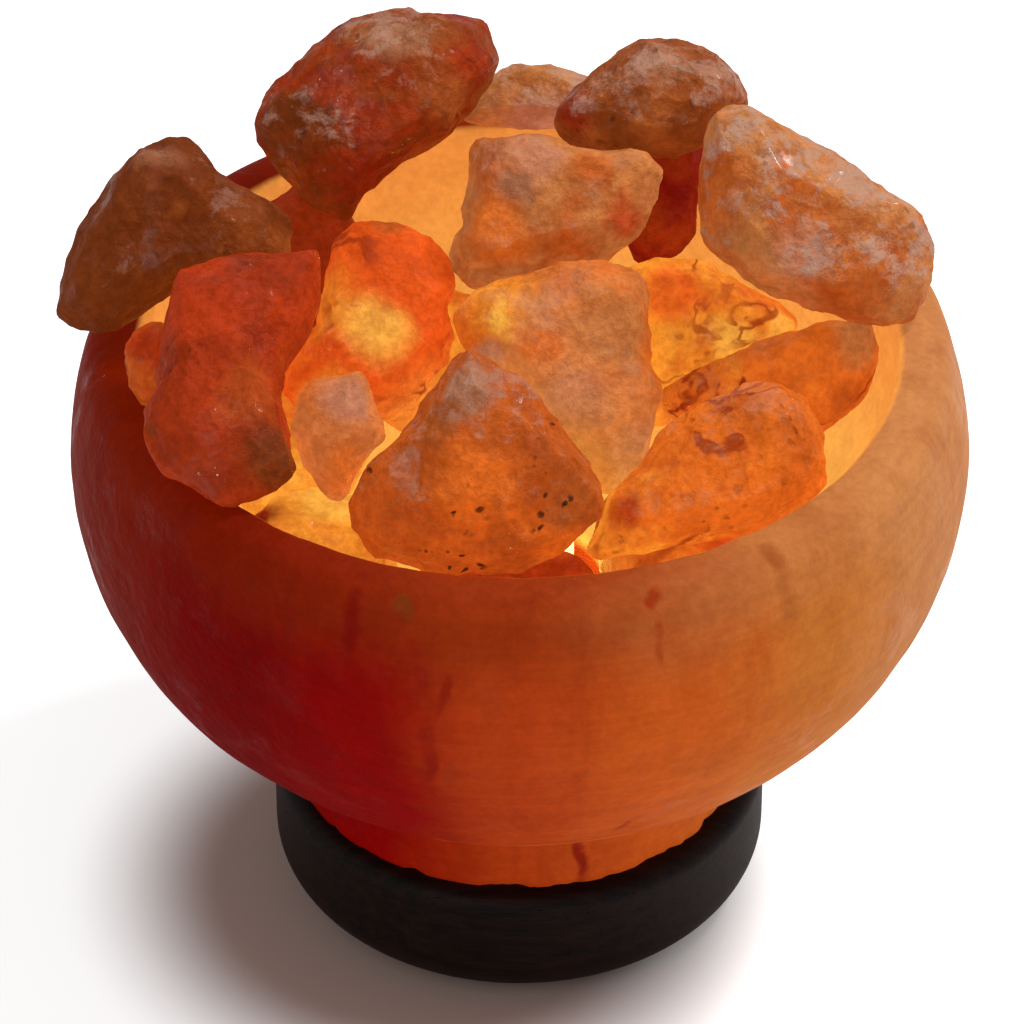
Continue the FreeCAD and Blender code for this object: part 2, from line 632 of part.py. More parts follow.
holder_cap = turned_piece("HolderCap", [
    (size("inlet_radius"), size("holder_bottom")),
    (size("sleeve_radius"), size("holder_bottom")),
    (size("sleeve_radius"), sleeve_bottom),
    (sleeve_inner, sleeve_bottom),
    (sleeve_inner, spigot_top),
    (size("inlet_radius"), spigot_top),
])
for side, where in (("Left", -half_spread), ("Right", half_spread)):
    drill(holder_cap, "ClampHole" + side, where, clamp_middle, cap_screw_bottom,
          size("small_screw_radius"), size("clamp_screw_depth"))
keep(holder_cap, "holder_cap")

clamp_bar = box("ClampBlock", (-size("clamp_length") / 2, clamp_front, spigot_top),
                (size("clamp_length"), size("clamp_width"), size("clamp_height")))
clamp_screws = []
for side, where in (("Left", -half_spread), ("Right", half_spread)):
    hole = cylinder("ClampBarHole" + side, size("small_screw_radius"), size("clamp_height"),
                    where, clamp_middle, spigot_top)
    clamp_bar = cut("ClampBar" + side, clamp_bar, hole)
    clamp_screws.append(turned_piece("ClampScrew" + side, [
        (ZERO, cap_screw_bottom),
        (size("small_screw_radius"), cap_screw_bottom),
        (size("small_screw_radius"), clamp_top),
        (size("small_head_radius"), clamp_top),
        (size("small_head_radius"), clamp_top + size("small_head_height")),
        (ZERO, clamp_top + size("small_head_height")),
    ], where, clamp_middle))
keep(clamp_bar, "cord_clamp")
keep(group("ClampScrews", clamp_screws), "clamp_screws")

keep(turned_piece("Core", ring(size("centre_rivet_radius"), sleeve_inner, core_bottom, shell_bottom)),
     "holder_core")
keep(turned_piece("ThreadShell", ring(shell_inner, shell_outer, shell_bottom, size("holder_top"))),
     "thread_shell")
keep(turned_piece("CentreContact", [
    (ZERO, core_bottom),
    (size("centre_rivet_radius"), core_bottom),
    (size("centre_rivet_radius"), shell_bottom),
    (size("centre_contact_radius"), shell_bottom),
    (size("centre_contact_radius"), shell_bottom + size("centre_contact_height")),
    (ZERO, shell_bottom + size("centre_contact_height")),
]), "centre_contact")

blocks = []
block_screws = []
for side, turn in (("Left", -1.0), ("Right", 1.0)):
    middle = size("terminal_spread") / 2 * turn
    block_bottom = core_bottom - size("terminal_height")
    block = box("TerminalBlock" + side,
                (middle - size("terminal_width") / 2, -size("terminal_depth") / 2, block_bottom),
                (size("terminal_width"), size("terminal_depth"), size("terminal_height")))
    hole = cylinder("TerminalHole" + side, size("small_screw_radius"), size("terminal_screw_length"),
                    middle, ZERO, block_bottom)
    blocks.append(cut("Terminal" + side, block, hole))
    block_screws.append(turned_piece("TerminalScrew" + side, [
        (ZERO, block_bottom - size("small_head_height")),
        (size("small_head_radius"), block_bottom - size("small_head_height")),
        (size("small_head_radius"), block_bottom),
        (size("small_screw_radius"), block_bottom),
        (size("small_screw_radius"), block_bottom + size("terminal_screw_length")),
        (ZERO, block_bottom + size("terminal_screw_length")),
    ], middle))
keep(group("Terminals", blocks), "terminal_blocks")
keep(group("TerminalScrews", block_screws), "terminal_screws")

# The spring clips press on the bore's wall and hold the holder up in the salt.
clip_inside = size("sleeve_radius") + size("running_gap")
clip_reach = size("bore_radius") - size("running_gap")
half_clip = size("clip_width") / 2
clip_outside = (clip_reach * clip_reach - half_clip * half_clip).root()
clip_bend = size("clip_bottom") + size("clip_foot_height")
clip_crest = clip_bend + size("clip_rise")
clip_end = clip_crest + size("clip_tip")
tip_outside = clip_outside - size("clip_tip") / 2
thickness = size("clip_thickness")
for side, turn in (("left", -1.0), ("right", 1.0)):
    strip = [
        (clip_inside, size("clip_bottom")),
        (clip_inside + thickness, size("clip_bottom")),
        (clip_inside + thickness, clip_bend),
        (clip_outside, clip_crest),
        (tip_outside, clip_end),
        (tip_outside - thickness, clip_end),
        (clip_outside - thickness, clip_crest),
        (clip_inside, clip_bend),
    ]
    clip = new_body("Clip" + side)
    clip_sketch = sketch_on(clip, "XZ_Plane", "ClipOutline")
    outline_in(clip_sketch, [(radius * turn, height) for radius, height in strip])
    pad = clip.newObject("PartDesign::Pad", "Strip")
    pad.Profile = clip_sketch
    pad.setExpression("Length", size("clip_width").formula)
    pad.Midplane = True
    clip_sketch.Visibility = False
    keep(clip, "spring_clip_" + side)

# ---------------------------------------------------------------------------
# The bulb: pear-shaped glass in a small screw cap
# ---------------------------------------------------------------------------

keep(turned_piece("Solder", [
    (ZERO, solder_bottom),
    (size("solder_radius"), solder_bottom),
    (size("solder_radius"), insulator_bottom),
    (ZERO, insulator_bottom),
]), "bulb_contact")
keep(turned_piece("Insulator", [
    (ZERO, insulator_bottom),
    (cap_inner, insulator_bottom),
    (cap_inner, insulator_bottom + size("insulator_height")),
    (ZERO, insulator_bottom + size("insulator_height")),
]), "bulb_insulator")
keep(turned_piece("ScrewCap", ring(cap_inner, size("bulb_cap_radius"), cap_bottom, cap_top)),
     "bulb_cap")
wall = size("glass_wall")
keep(turned_piece("Glass", [
    (cap_inner - wall, glass_bottom),
    (cap_inner, glass_bottom),
    (cap_inner, cap_top),
    (size("bulb_radius"), round_bottom),
    (size("bulb_radius"), dome_centre, (ZERO, dome_centre)),
    (ZERO, bulb_top.value),
    (ZERO, bulb_top.value - wall.value, (ZERO, dome_centre)),
    (size("bulb_radius") - wall, dome_centre),
    (size("bulb_radius") - wall, round_bottom),
    (cap_inner - wall, cap_top),
]), "bulb_glass")
keep(turned_piece("Stem", [
    (ZERO, stem_bottom),
    (cap_inner - wall, stem_bottom),
    (cap_inner - wall, stem_bottom + size("stem_flare")),
    (size("stem_radius"), stem_bottom + size("stem_flare")),
    (size("stem_radius"), stem_top),
    (ZERO, stem_top),
]), "glass_stem")
half_leads = size("lead_spread") / 2
leads = [cylinder("Lead" + side, size("lead_radius"), size("lead_height"), where, ZERO, stem_top)
         for side, where in (("Left", -half_leads), ("Right", half_leads))]
keep(group("Leads", leads), "lead_wires")
filament = doc.addObject("Part::Torus", "FilamentArch")
filament.setExpression("Radius1", half_leads.formula)
filament.setExpression("Radius2", size("lead_radius").formula)
filament.Angle3 = 180
filament.Placement = FreeCAD.Placement(Vector(0, 0, 0), FreeCAD.Rotation(Vector(1, 0, 0), 90))
filament.setExpression("Placement.Base.z", lead_top.formula)
keep(filament, "filament")

# ---------------------------------------------------------------------------
# The chunks, laid in the bowl one by one, each lowered until it rests
# ---------------------------------------------------------------------------

RING_STEPS = 360
EDGE_STEP = 2.0


class Rock:
    """A faceted chunk as corners, edges and flat faces, in millimetres."""

    def __init__(self, name):
        spec = CHUNKS[name]
        width = size(name + "_width").value
        front = size(name + "_front").value
        back = size(name + "_back").value
        tilt = math.radians(size(name + "_lean").value)
        drawn_from_above = name.startswith("bed_")
        sight = tilt if drawn_from_above else math.radians(size("sight_tilt").value)
        across = [point[0] for point in spec["outline"]]
        down = [point[1] for point in spec["outline"]]
        scale = width / (max(across) - min(across))
        middle = ((max(across) + min(across)) / 2, (max(down) + min(down)) / 2)
        self.name = name
        if spec["on_rim"]:
            reach = (size("rim_inner_radius") + size(name + "_out")).value
            bearing = math.radians(size(name + "_bearing").value)
            self.place = [reach * math.cos(bearing), reach * math.sin(bearing), 0.0]
        else:
            self.place = [size(name + "_across").value, size(name + "_behind").value, 0.0]
        self.corners = []
        self.count = len(across)
        for share, right, up, depth in chunk_levels(spec, front, back):
            for u, v in spec["outline"]:
                x = (u - middle[0]) * scale * share + right * width
                y = (middle[1] - v) * scale * share / math.cos(tilt - sight) + up * width
                self.corners.append((x,
                                     y * math.sin(tilt) + depth * math.cos(tilt),
                                     y * math.cos(tilt) - depth * math.sin(tilt)))
        count = self.count
        levels = len(self.corners) // count
        self.faces = [list(range(count)), list(range((levels - 1) * count, levels * count))]
        self.edges = []
        for level in range(levels):
            for i in range(count):
                after = (i + 1) % count
                here = level * count
                self.edges.append((here + i, here + after))
                if level + 1 < levels:
                    self.edges.append((here + i, here + count + i))
                    self.faces.append([here + i, here + after, here + count + after, here + count + i])
        xs, ys = zip(*[(c[0] + self.place[0], c[1] + self.place[1]) for c in self.corners])
        self.span = (min(xs), min(ys), max(xs), max(ys))

    def placed(self):
        x, y, z = self.place
        return [(c[0] + x, c[1] + y, c[2] + z) for c in self.corners]

    def solid(self):
        faces = []
        for face in self.faces:
            points = [Vector(*self.corners[i]) for i in face]
            faces.append(Part.Face(Part.makePolygon(points + points[:1])))
        shell = Part.Shell(faces)
        shell.sewShape()
        solid = Part.Solid(shell)
        if solid.Volume < 0:
            solid.reverse()
        return solid


def chunk_levels(spec, front, back):
    """The outline at five depths, as (share of its size, right, up, depth behind it)."""
    front_share, front_right, front_up = spec["front_face"]
    back_share, back_right, back_up = spec["back_face"]
    fullness = 0.7
    shoulder = 0.55
    return [
        (front_share, front_right, front_up, -front),
        (1 - (1 - front_share) * (1 - fullness), front_right * (1 - fullness),
         front_up * (1 - fullness), -front * shoulder),
        (1.0, 0.0, 0.0, 0.0),
        (1 - (1 - back_share) * (1 - fullness), back_right * (1 - fullness),
         back_up * (1 - fullness), back * shoulder),
        (back_share, back_right, back_up, back),
    ]


def face_heights(points, faces):
    """For each face that isn't upright: its plane, its outline seen from above, its span."""
    found = []
    for face in faces:
        corners = [points[i] for i in face]
        nx = ny = nz = 0.0
        for i, a in enumerate(corners):
            b = corners[(i + 1) % len(corners)]
            nx += (a[1] - b[1]) * (a[2] + b[2])
            ny += (a[2] - b[2]) * (a[0] + b[0])
            nz += (a[0] - b[0]) * (a[1] + b[1])
        if abs(nz) < 1e-6:
            continue
        a = corners[0]
        slope_x, slope_y = -nx / nz, -ny / nz
        height = a[2] - slope_x * a[0] - slope_y * a[1]
        xs = [c[0] for c in corners]
        ys = [c[1] for c in corners]
        found.append((slope_x, slope_y, height, corners, min(xs), min(ys), max(xs), max(ys)))
    return found


def heights_at(faces, x, y):
    """Where the upright line through (x, y) meets the faces."""
    found = []
    for slope_x, slope_y, height, corners, x0, y0, x1, y1 in faces:
        if x < x0 or x > x1 or y < y0 or y > y1:
            continue
        inside = False
        a = corners[-1]
        for b in corners:
            if (a[1] > y) != (b[1] > y) and x < (b[0] - a[0]) * (y - a[1]) / (b[1] - a[1]) + a[0]:
                inside = not inside
            a = b
        if inside:
            found.append(slope_x * x + slope_y * y + height)
    return found


def rise_over_rock(upper, lower):
    """How far the upper rock must rise to clear the lower one, or None."""
    a, b = upper.span, lower.span
    if a[0] > b[2] or b[0] > a[2] or a[1] > b[3] or b[1] > a[3]:
        return None
    best = None
    top, bottom = lower.placed(), upper.placed()
    lower_faces = face_heights(top, lower.faces)
    upper_faces = face_heights(bottom, upper.faces)
    for x, y, z in bottom:
        if b[0] <= x <= b[2] and b[1] <= y <= b[3]:
            for height in heights_at(lower_faces, x, y):
                if best is None or height - z > best:
                    best = height - z
    for x, y, z in top:
        if a[0] <= x <= a[2] and a[1] <= y <= a[3]:
            for height in heights_at(upper_faces, x, y):
                if best is None or z - height > best:
                    best = z - height
    shared = (max(a[0], b[0]), max(a[1], b[1]), min(a[2], b[2]), min(a[3], b[3]))
    near = [edges_within(points, rock.edges, shared) for points, rock in ((top, lower), (bottom, upper))]
    for p, q, x0, y0, x1, y1 in near[0]:
        px, py = p[0], p[1]
        dx, dy = q[0] - px, q[1] - py
        for r, t, u0, v0, u1, v1 in near[1]:
            if x0 > u1 or u0 > x1 or y0 > v1 or v0 > y1:
                continue
            ex, ey = t[0] - r[0], t[1] - r[1]
            cross = dx * ey - dy * ex
            if -1e-9 < cross < 1e-9:
                continue
            gx, gy = r[0] - px, r[1] - py
            along = (gx * ey - gy * ex) / cross
            other = (gx * dy - gy * dx) / cross
            if 0 <= along <= 1 and 0 <= other <= 1:
                rise = p[2] + along * (q[2] - p[2]) - r[2] - other * (t[2] - r[2])
                if best is None or rise > best:
                    best = rise
    return best


def edges_within(points, edges, area):
    found = []
    for i, j in edges:
        p, q = points[i], points[j]
        x0, x1 = (p[0], q[0]) if p[0] < q[0] else (q[0], p[0])
        y0, y1 = (p[1], q[1]) if p[1] < q[1] else (q[1], p[1])
        if x0 <= area[2] and x1 >= area[0] and y0 <= area[3] and y1 >= area[1]:
            found.append((p, q, x0, y0, x1, y1))
    return found


bulb_room_radius = (size("bulb_radius") + size("bulb_room")).value
bulb_room_top = (bulb_top + size("bulb_travel")).value + size("running_gap").value
mouth = size("rim_inner_radius").value
rim_edge = rim_outer_radius.value
wall_curve = wall_curve_size.value
outer_round = rim_outside_round.value
inner_round = rim_inside_round.value
wall_lean = math.asin((rim.value - size("bowl_widest_height").value) / wall_curve)
outer_turn = math.pi / 2 - wall_lean
outer_round_centre = rim_edge - outer_round * math.tan(outer_turn / 2)
inner_round_centre = mouth + inner_round
ROUND_STEPS = 7


def bowl_height(radius):
    """The top of the bowl, or of the space kept for the bulb, at a distance from the axis."""
    if radius < bulb_room_radius:
        return bulb_room_top
    if radius < cavity_flat.value:
        return cavity_floor.value
    if radius < mouth:
        curve = size("cavity_curve").value
        return cavity_curve_height.value - math.sqrt(max(0.0, curve ** 2 - (radius - cavity_flat.value) ** 2))
    if radius < inner_round_centre:
        return rim.value - inner_round + math.sqrt(inner_round ** 2 - (inner_round_centre - radius) ** 2)
    if radius < outer_round_centre:
        return rim.value
    beyond = radius - outer_round_centre
    if beyond < outer_round * math.sin(outer_turn):
        return rim.value - outer_round + math.sqrt(outer_round ** 2 - beyond ** 2)
    beyond = radius - wall_curve_centre.value
    if beyond < wall_curve:
        return size("bowl_widest_height").value + math.sqrt(wall_curve ** 2 - beyond ** 2)
    return 0.0


# Rings that a chunk can come to rest on, as (radius, height): the edge of the space
# kept free over the bulb, and the rim's two roundings.
RINGS = [(bulb_room_radius, bulb_room_top)]
for step in range(ROUND_STEPS + 1):
    turn = math.pi / 2 * step / ROUND_STEPS
    RINGS.append((inner_round_centre - inner_round * math.cos(turn),
                  rim.value - inner_round + inner_round * math.sin(turn)))
    turn = outer_turn * step / ROUND_STEPS
    RINGS.append((outer_round_centre + outer_round * math.sin(turn),
                  rim.value - outer_round + outer_round * math.cos(turn)))


def rise_over_bowl(rock):
    """How far the rock must rise to clear the bowl and the space over the bulb."""
    points = rock.placed()
    best = max(bowl_height(math.hypot(x, y)) - z for x, y, z in points)
    for i, j in rock.edges:
        p, q = points[i], points[j]
        dx, dy = q[0] - p[0], q[1] - p[1]
        length = dx * dx + dy * dy
        if length < 1e-9:
            continue
        steps = max(2, int(math.sqrt(length) / EDGE_STEP))
        stations = [step / steps for step in range(1, steps)]
        for radius, height in RINGS:
            half = p[0] * dx + p[1] * dy
            inside = half * half - length * (p[0] ** 2 + p[1] ** 2 - radius ** 2)
            if inside > 0:
                for root in (-math.sqrt(inside), math.sqrt(inside)):
                    along = (root - half) / length
                    if 0 <= along <= 1:
                        best = max(best, height - p[2] - along * (q[2] - p[2]))
        for along in stations:
            x, y = p[0] + along * dx, p[1] + along * dy
            best = max(best, bowl_height(math.hypot(x, y)) - p[2] - along * (q[2] - p[2]))
    faces = face_heights(points, rock.faces)
    left, near, right, far = rock.span
    for radius, height in RINGS:
        for step in range(RING_STEPS):
            angle = 2 * math.pi * step / RING_STEPS
            x, y = radius * math.cos(angle), radius * math.sin(angle)
            if left < x < right and near < y < far:
                for bottom in heights_at(faces, x, y):
                    best = max(best, height - bottom)
    return best


laid = []
for name in CHUNKS:
    rock = Rock(name)
    supports = [(rise_over_bowl(rock), "salt_bowl")]
    for earlier in laid:
        rise = rise_over_rock(rock, earlier)
        if rise is not None:
            supports.append((rise, earlier.name))
    rise, support = max(supports)
    rock.place[2] = rise + size("seat_gap").value
    rock.rests_on = support
    laid.append(rock)

for rock in laid:
    piece = doc.addObject("Part::Feature", "Chunk_" + rock.name)
    piece.Shape = rock.solid()
    piece.Placement = FreeCAD.Placement(Vector(*rock.place), FreeCAD.Rotation())
    keep(piece, "chunk_" + rock.name)
    print("%-18s rests on %-16s at height %.1f" % (rock.name, rock.rests_on, rock.place[2]))

# ---------------------------------------------------------------------------
# Check every piece, then write it
# ---------------------------------------------------------------------------

doc.recompute()
for item in doc.Objects:
    if "Invalid" in item.State or "Error" in item.State:
        raise RuntimeError("%s: %s" % (item.Label, item.State))
for piece in made:
    shape = piece.Shape
    if shape.isNull() or not shape.isValid() or not shape.Solids or shape.Volume <= 0:
        raise RuntimeError(piece.Label + " has no sound shape")

os.makedirs("parts", exist_ok=True)
for piece in made:
    piece.Shape.exportStep(os.path.join("parts", piece.Label + ".step"))
    print("%-22s %d solid(s) %10.1f mm3" % (piece.Label, len(piece.Shape.Solids), piece.Shape.Volume))
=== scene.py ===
import math

import bpy
import numpy as np
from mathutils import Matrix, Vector


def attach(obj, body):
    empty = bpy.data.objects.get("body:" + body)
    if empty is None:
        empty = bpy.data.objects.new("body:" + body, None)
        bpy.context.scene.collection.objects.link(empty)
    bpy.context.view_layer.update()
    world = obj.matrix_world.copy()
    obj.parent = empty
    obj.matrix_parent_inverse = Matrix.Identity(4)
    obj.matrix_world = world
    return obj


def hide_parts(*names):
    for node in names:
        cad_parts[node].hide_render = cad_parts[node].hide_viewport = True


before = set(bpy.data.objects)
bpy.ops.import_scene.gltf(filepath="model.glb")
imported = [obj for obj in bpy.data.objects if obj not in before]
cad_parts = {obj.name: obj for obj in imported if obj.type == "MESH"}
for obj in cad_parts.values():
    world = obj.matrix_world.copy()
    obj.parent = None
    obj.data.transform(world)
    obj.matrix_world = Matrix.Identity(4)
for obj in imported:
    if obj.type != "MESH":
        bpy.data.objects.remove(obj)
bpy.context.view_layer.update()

# ---------------------------------------------------------------------------
# The base: a turned disc of wood, stained nearly black and waxed. It carries
# the bowl and hides the lamp holder's wiring.
# ---------------------------------------------------------------------------


def tint(red, green, blue):
    """A colour given in 0 to 255 screen steps, as linear light."""
    return tuple(((c / 255 + 0.055) / 1.055) ** 2.4 if c > 10 else c / 3295
                 for c in (red, green, blue)) + (1.0,)


class Signal:
    """A socket of a material's node tree that can be added, scaled and so on."""

    def __init__(self, tree, socket):
        self.tree, self.socket = tree, socket

    def math(self, operation, *others):
        return self.tree.node("Math", {"operation": operation}, dict(enumerate((self,) + others)))

    def __add__(self, other):
        return self.math("ADD", other)

    def __sub__(self, other):
        return self.math("SUBTRACT", other)

    def __mul__(self, other):
        return self.math("MULTIPLY", other)

    def __rsub__(self, other):
        return self.tree.node("Math", {"operation": "SUBTRACT"}, {0: other, 1: self})

    __radd__, __rmul__ = __add__, __mul__

    def part(self, name):
        """Another output of the same node."""
        return Signal(self.tree, self.socket.node.outputs[name])

    def rise(self, low, high):
        """0 below low, 1 above high, eased in between. low may be the larger."""
        flip = low > high
        out = self.tree.node("MapRange", {"interpolation_type": "SMOOTHSTEP"},
                             {"Value": self, "From Min": min(low, high), "From Max": max(low, high)})
        return 1 - out if flip else out


class Finish:
    """A material: node() adds any node, mix() blends two colours, and done() links the surface."""

    def __init__(self, name, **fixed):
        self.material = bpy.data.materials.new(name)
        self.material.use_nodes = True
        self.nodes = self.material.node_tree.nodes
        self.surface = self.nodes["Principled BSDF"]
        for socket, value in fixed.items():
            self.surface.inputs[socket.replace("_", " ")].default_value = value
        self.place = self.node("TexCoord", {}, {}, "Object")

    def node(self, kind, settings=None, sockets=None, output=0):
        made = self.nodes.new("ShaderNode" + kind)
        for key, value in (settings or {}).items():
            setattr(made, key, value)
        for key, value in (sockets or {}).items():
            if isinstance(value, Signal):
                self.material.node_tree.links.new(value.socket, made.inputs[key])
            else:
                made.inputs[key].default_value = value
        return Signal(self, made.outputs[output])

    def mix(self, amount, first, second, blend="MIX"):
        """One colour blended into another; sockets 0, 6 and 7 are the factor and the two colours."""
        return self.node("Mix", {"data_type": "RGBA", "blend_type": blend},
                         {0: amount, 6: first, 7: second}, 2)

    def shaded(self, amount, colour, tone):
        """A colour darkened or lightened by a tone, in the given amount."""
        return self.mix(amount, colour, self.mix(1.0, colour, tone, "MULTIPLY"))

    def noise(self, scale, detail=3.0, rough=0.5, at=None, warp=0.0):
        return self.node("TexNoise", {}, {"Vector": at or self.place, "Scale": scale, "Detail": detail,
                                          "Roughness": rough, "Distortion": warp})

    def vector(self, operation, first, second, third=None, output=0):
        """A vector operation; a third value is the one that multiply-and-add adds."""
        sockets = {0: first, 1: second}
        if third is not None:
            sockets[2] = third
        return self.node("VectorMath", {"operation": operation}, sockets, output)

    def stretched(self, x, y, z):
        return self.node("Mapping", {}, {"Vector": self.place, "Scale": (x, y, z)})

    def bump(self, height, depth, under=None):
        sockets = {"Height": height, "Distance": depth, "Strength": 1.0}
        if under:
            sockets["Normal"] = under
        return self.node("Bump", {}, sockets)

    def done(self, **links):
        for socket, signal in links.items():
            self.material.node_tree.links.new(signal.socket, self.surface.inputs[socket.replace("_", " ")])
        return self.material


def dress(node, material):
    """Give a CAD node's object its real finish."""
    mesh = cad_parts[node].data
    mesh.materials.clear()
    mesh.materials.append(material)


wood = Finish("stained_wood", Specular_IOR_Level=0.12)
rings = wood.noise(1.0, 4, 0.6, wood.stretched(30, 420, 420), 0.4)
pores = wood.noise(1.0, 2, 0.5, wood.stretched(160, 2600, 2600))
brown = wood.mix(rings.rise(0.35, 0.7), tint(14, 6, 5), tint(34, 16, 11))
brown = wood.mix(pores.rise(0.62, 0.75), brown, tint(6, 3, 2))
dress("base_disc", wood.done(Base_Color=brown, Roughness=0.42 + rings * 0.2,
                             Normal=wood.bump(rings * 0.6 - pores.rise(0.6, 0.8), 0.00025)))

# Felt pads, cut from dark sheet and glued under the base.
felt = Finish("felt", Sheen_Weight=0.4)
nap = felt.noise(1800, 3)
dress("base_pads", felt.done(Base_Color=felt.mix(nap, tint(18, 18, 20), tint(52, 50, 50)),
                             Roughness=0.85 + nap * 0.1, Normal=felt.bump(nap, 0.0003)))

# Zinc-plated wood screws come up through the base and bite in plastic plugs
# that sit in holes drilled in the salt foot.
zinc = Finish("zinc_plate", Metallic=1.0)
scratch = zinc.noise(900, 4, 0.6)
zinc = zinc.done(Base_Color=zinc.mix(scratch, tint(150, 150, 140), tint(196, 194, 182)),
                 Roughness=0.3 + scratch * 0.25, Normal=zinc.bump(scratch, 0.00004))
for screw in ("foot_screws", "clamp_screws", "terminal_screws"):
    dress(screw, zinc)
nylon = Finish("plug_nylon")
speck = nylon.noise(700, 2)
dress("foot_plugs", nylon.done(Base_Color=nylon.mix(speck, tint(168, 168, 164), tint(186, 186, 180)),
                               Roughness=0.55 + speck * 0.15))

# ---------------------------------------------------------------------------
# The bowl: one block of rock salt, turned on a lathe, hollowed, and left with
# a foot that stands on the base. The lit bulb inside makes the wall glow.
# ---------------------------------------------------------------------------
BULB = (0.0, 0.0, 0.092)

# The front view: how far it looks down, from where, at what, and its lens. The
# stains of the salt, and patches of painted light and shade among them, are placed
# by where this view shows them, in its pixels.
SIGHT_TILT = math.radians(37.7)
CAMERA_AWAY = 1.3
CAMERA_AIM = (-0.0017, 0.0, 0.1012)
FRAME = 1024
LENS_PIXELS = 5703.0


def sighted(points):
    """Where points appear in the front view: across, down and distance, for a frame FRAME wide."""
    rel = np.asarray(points) - np.array(CAMERA_AIM)
    away = CAMERA_AWAY + rel[:, 1] * math.cos(SIGHT_TILT) - rel[:, 2] * math.sin(SIGHT_TILT)
    up = rel[:, 1] * math.sin(SIGHT_TILT) + rel[:, 2] * math.cos(SIGHT_TILT)
    return FRAME / 2 + LENS_PIXELS * rel[:, 0] / away, FRAME / 2 - LENS_PIXELS * up / away, away


def spot_on(points, across, down):
    """The point of a surface that the front view shows at that place: of those near the line of
    sight, the nearest."""
    u, v, away = sighted(points)
    return points[np.argmin(np.hypot(u - across, v - down) / 1000 + (away - away.min()) * 0.15)]


def dice(corner, seed):
    """Six random values from -1 to 1 for each whole-number lattice corner, always the same for the
    same corner."""
    mixed = corner[:, 0] * 73856093 ^ corner[:, 1] * 19349663 ^ corner[:, 2] * 83492791 ^ seed * 2654435761
    mixed = (mixed ^ (mixed >> 15)) * 2246822519 & 0x7FFFFFFFFFFF
    mixed = (mixed ^ (mixed >> 13)) * 3266489917 & 0x7FFFFFFFFFFFFFF
    return ((mixed[:, None] >> np.array([8, 15, 22, 29, 36, 43])) & 127) / 63.5 - 1


def waves(points, size, seed, steps=3):
    """Smooth random waves: corner values blended inside each lattice cell, at a size and its halves,
    each half as strong."""
    total = np.zeros(len(points))
    for n in range(steps):
        spot = points / (size / 2 ** n) + 17.3 * n
        cell = np.floor(spot).astype(np.int64)
        part = spot - cell
        part = part * part * (3 - 2 * part)
        for corner in np.ndindex(2, 2, 2):
            share = np.prod(np.where(corner, part, 1 - part), axis=1)
            total += share * dice(cell + corner, seed + n)[:, 0] / 2 ** n
    return total


def scoops(points, size, seed):
    """Shallow scoops that meet in ridges, as where rock breaks: over jittered lattice corners, the least of the
    squared distance plus a slope of the corner's own, less its usual value."""
    spot = points / size
    cell = np.floor(spot).astype(np.int64)
    least = np.full(len(points), 9.0)
    for step in np.ndindex(3, 3, 3):
        corner = cell + step - 1
        thrown = dice(corner, seed)
        gap = spot - corner - 0.5 - thrown[:, :3] * 0.45
        least = np.minimum(least, (gap ** 2 + gap * thrown[:, 3:] * 0.35).sum(axis=1))
    return least - 0.2


def grid_mesh(name, points, rows, columns, closed_rows=False, ends=None):
    """A mesh on a grid of rows by columns, the columns joined round and, if asked, the rows too;
    ends adds a point at each pole."""
    row = np.arange(rows if closed_rows else rows - 1)[:, None]
    column = np.arange(columns)[None, :]
    a = row * columns + column
    b = row * columns + (column + 1) % columns
    c = (row + 1) % rows * columns + (column + 1) % columns
    d = (row + 1) % rows * columns + column
    faces = np.stack([a, b, c, d], axis=-1).reshape(-1, 4).tolist()
    if ends is not None:
        points = np.vstack([points, ends])
        first, last = rows * columns, rows * columns + 1
        k = np.arange(columns)
        after = (k + 1) % columns
        faces += np.stack([np.full(columns, first), after, k], axis=1).tolist()
        base = (rows - 1) * columns
        faces += np.stack([np.full(columns, last), base + k, base + after], axis=1).tolist()
    mesh = bpy.data.meshes.new(name)
    mesh.from_pydata(points.tolist(), [], faces)
    mesh.shade_smooth()
    piece = bpy.data.objects.new(name, mesh)
    bpy.context.scene.collection.objects.link(piece)
    return piece


# The honey tone is the bulb's light through the salt, painted in as colour. The lilac and ash tones are partly
# greyish frost and partly painted sheen where the lamp lights a face; the rime tone is frost that is partly painted
# light on faces turned up.
TONES = {
    "deep_red": (112, 4, 1), "oxblood": (128, 20, 7), "rust": (150, 46, 11), "brick": (172, 52, 13),
    "umber": (116, 50, 13), "brown": (142, 68, 23), "chestnut": (160, 82, 34), "caramel": (184, 84, 27),
    "ember": (222, 84, 22), "orange": (220, 106, 30), "amber": (240, 150, 46), "honey_glow": (252, 186, 74),
    "peach": (206, 120, 62), "lilac_frost_and_sheen": (190, 124, 92), "ash_frost_and_sheen": (160, 102, 70), "tan": (192, 118, 62),
    "rime_and_top_light": (204, 166, 146)}


WANDER = 0.014          # how far stains, veins and painted light stray from their drawn line, in metres
FACET_TILT = 1.6        # how far a broken grain's face leans, at full sparkle
SPOT_PIXELS = 4000      # a spot's size, stain or painted light, is given in the front view's pixels, this many to the metre


def cloudiness(stone, colour, mottle, grain, strength):
    """Lighter and darker patches in the salt, in two sizes."""
    depth = stone.mix(mottle.rise(0.36, 0.64), (0.7, 0.56, 0.48, 1), (1.36, 1.4, 1.42, 1))
    colour = stone.mix(strength, colour, depth, "MULTIPLY")
    depth = stone.mix(grain.rise(0.34, 0.66), (0.7, 0.62, 0.56, 1), (1.36, 1.38, 1.4, 1))
    return stone.mix(strength * 1.2, colour, depth, "MULTIPLY")


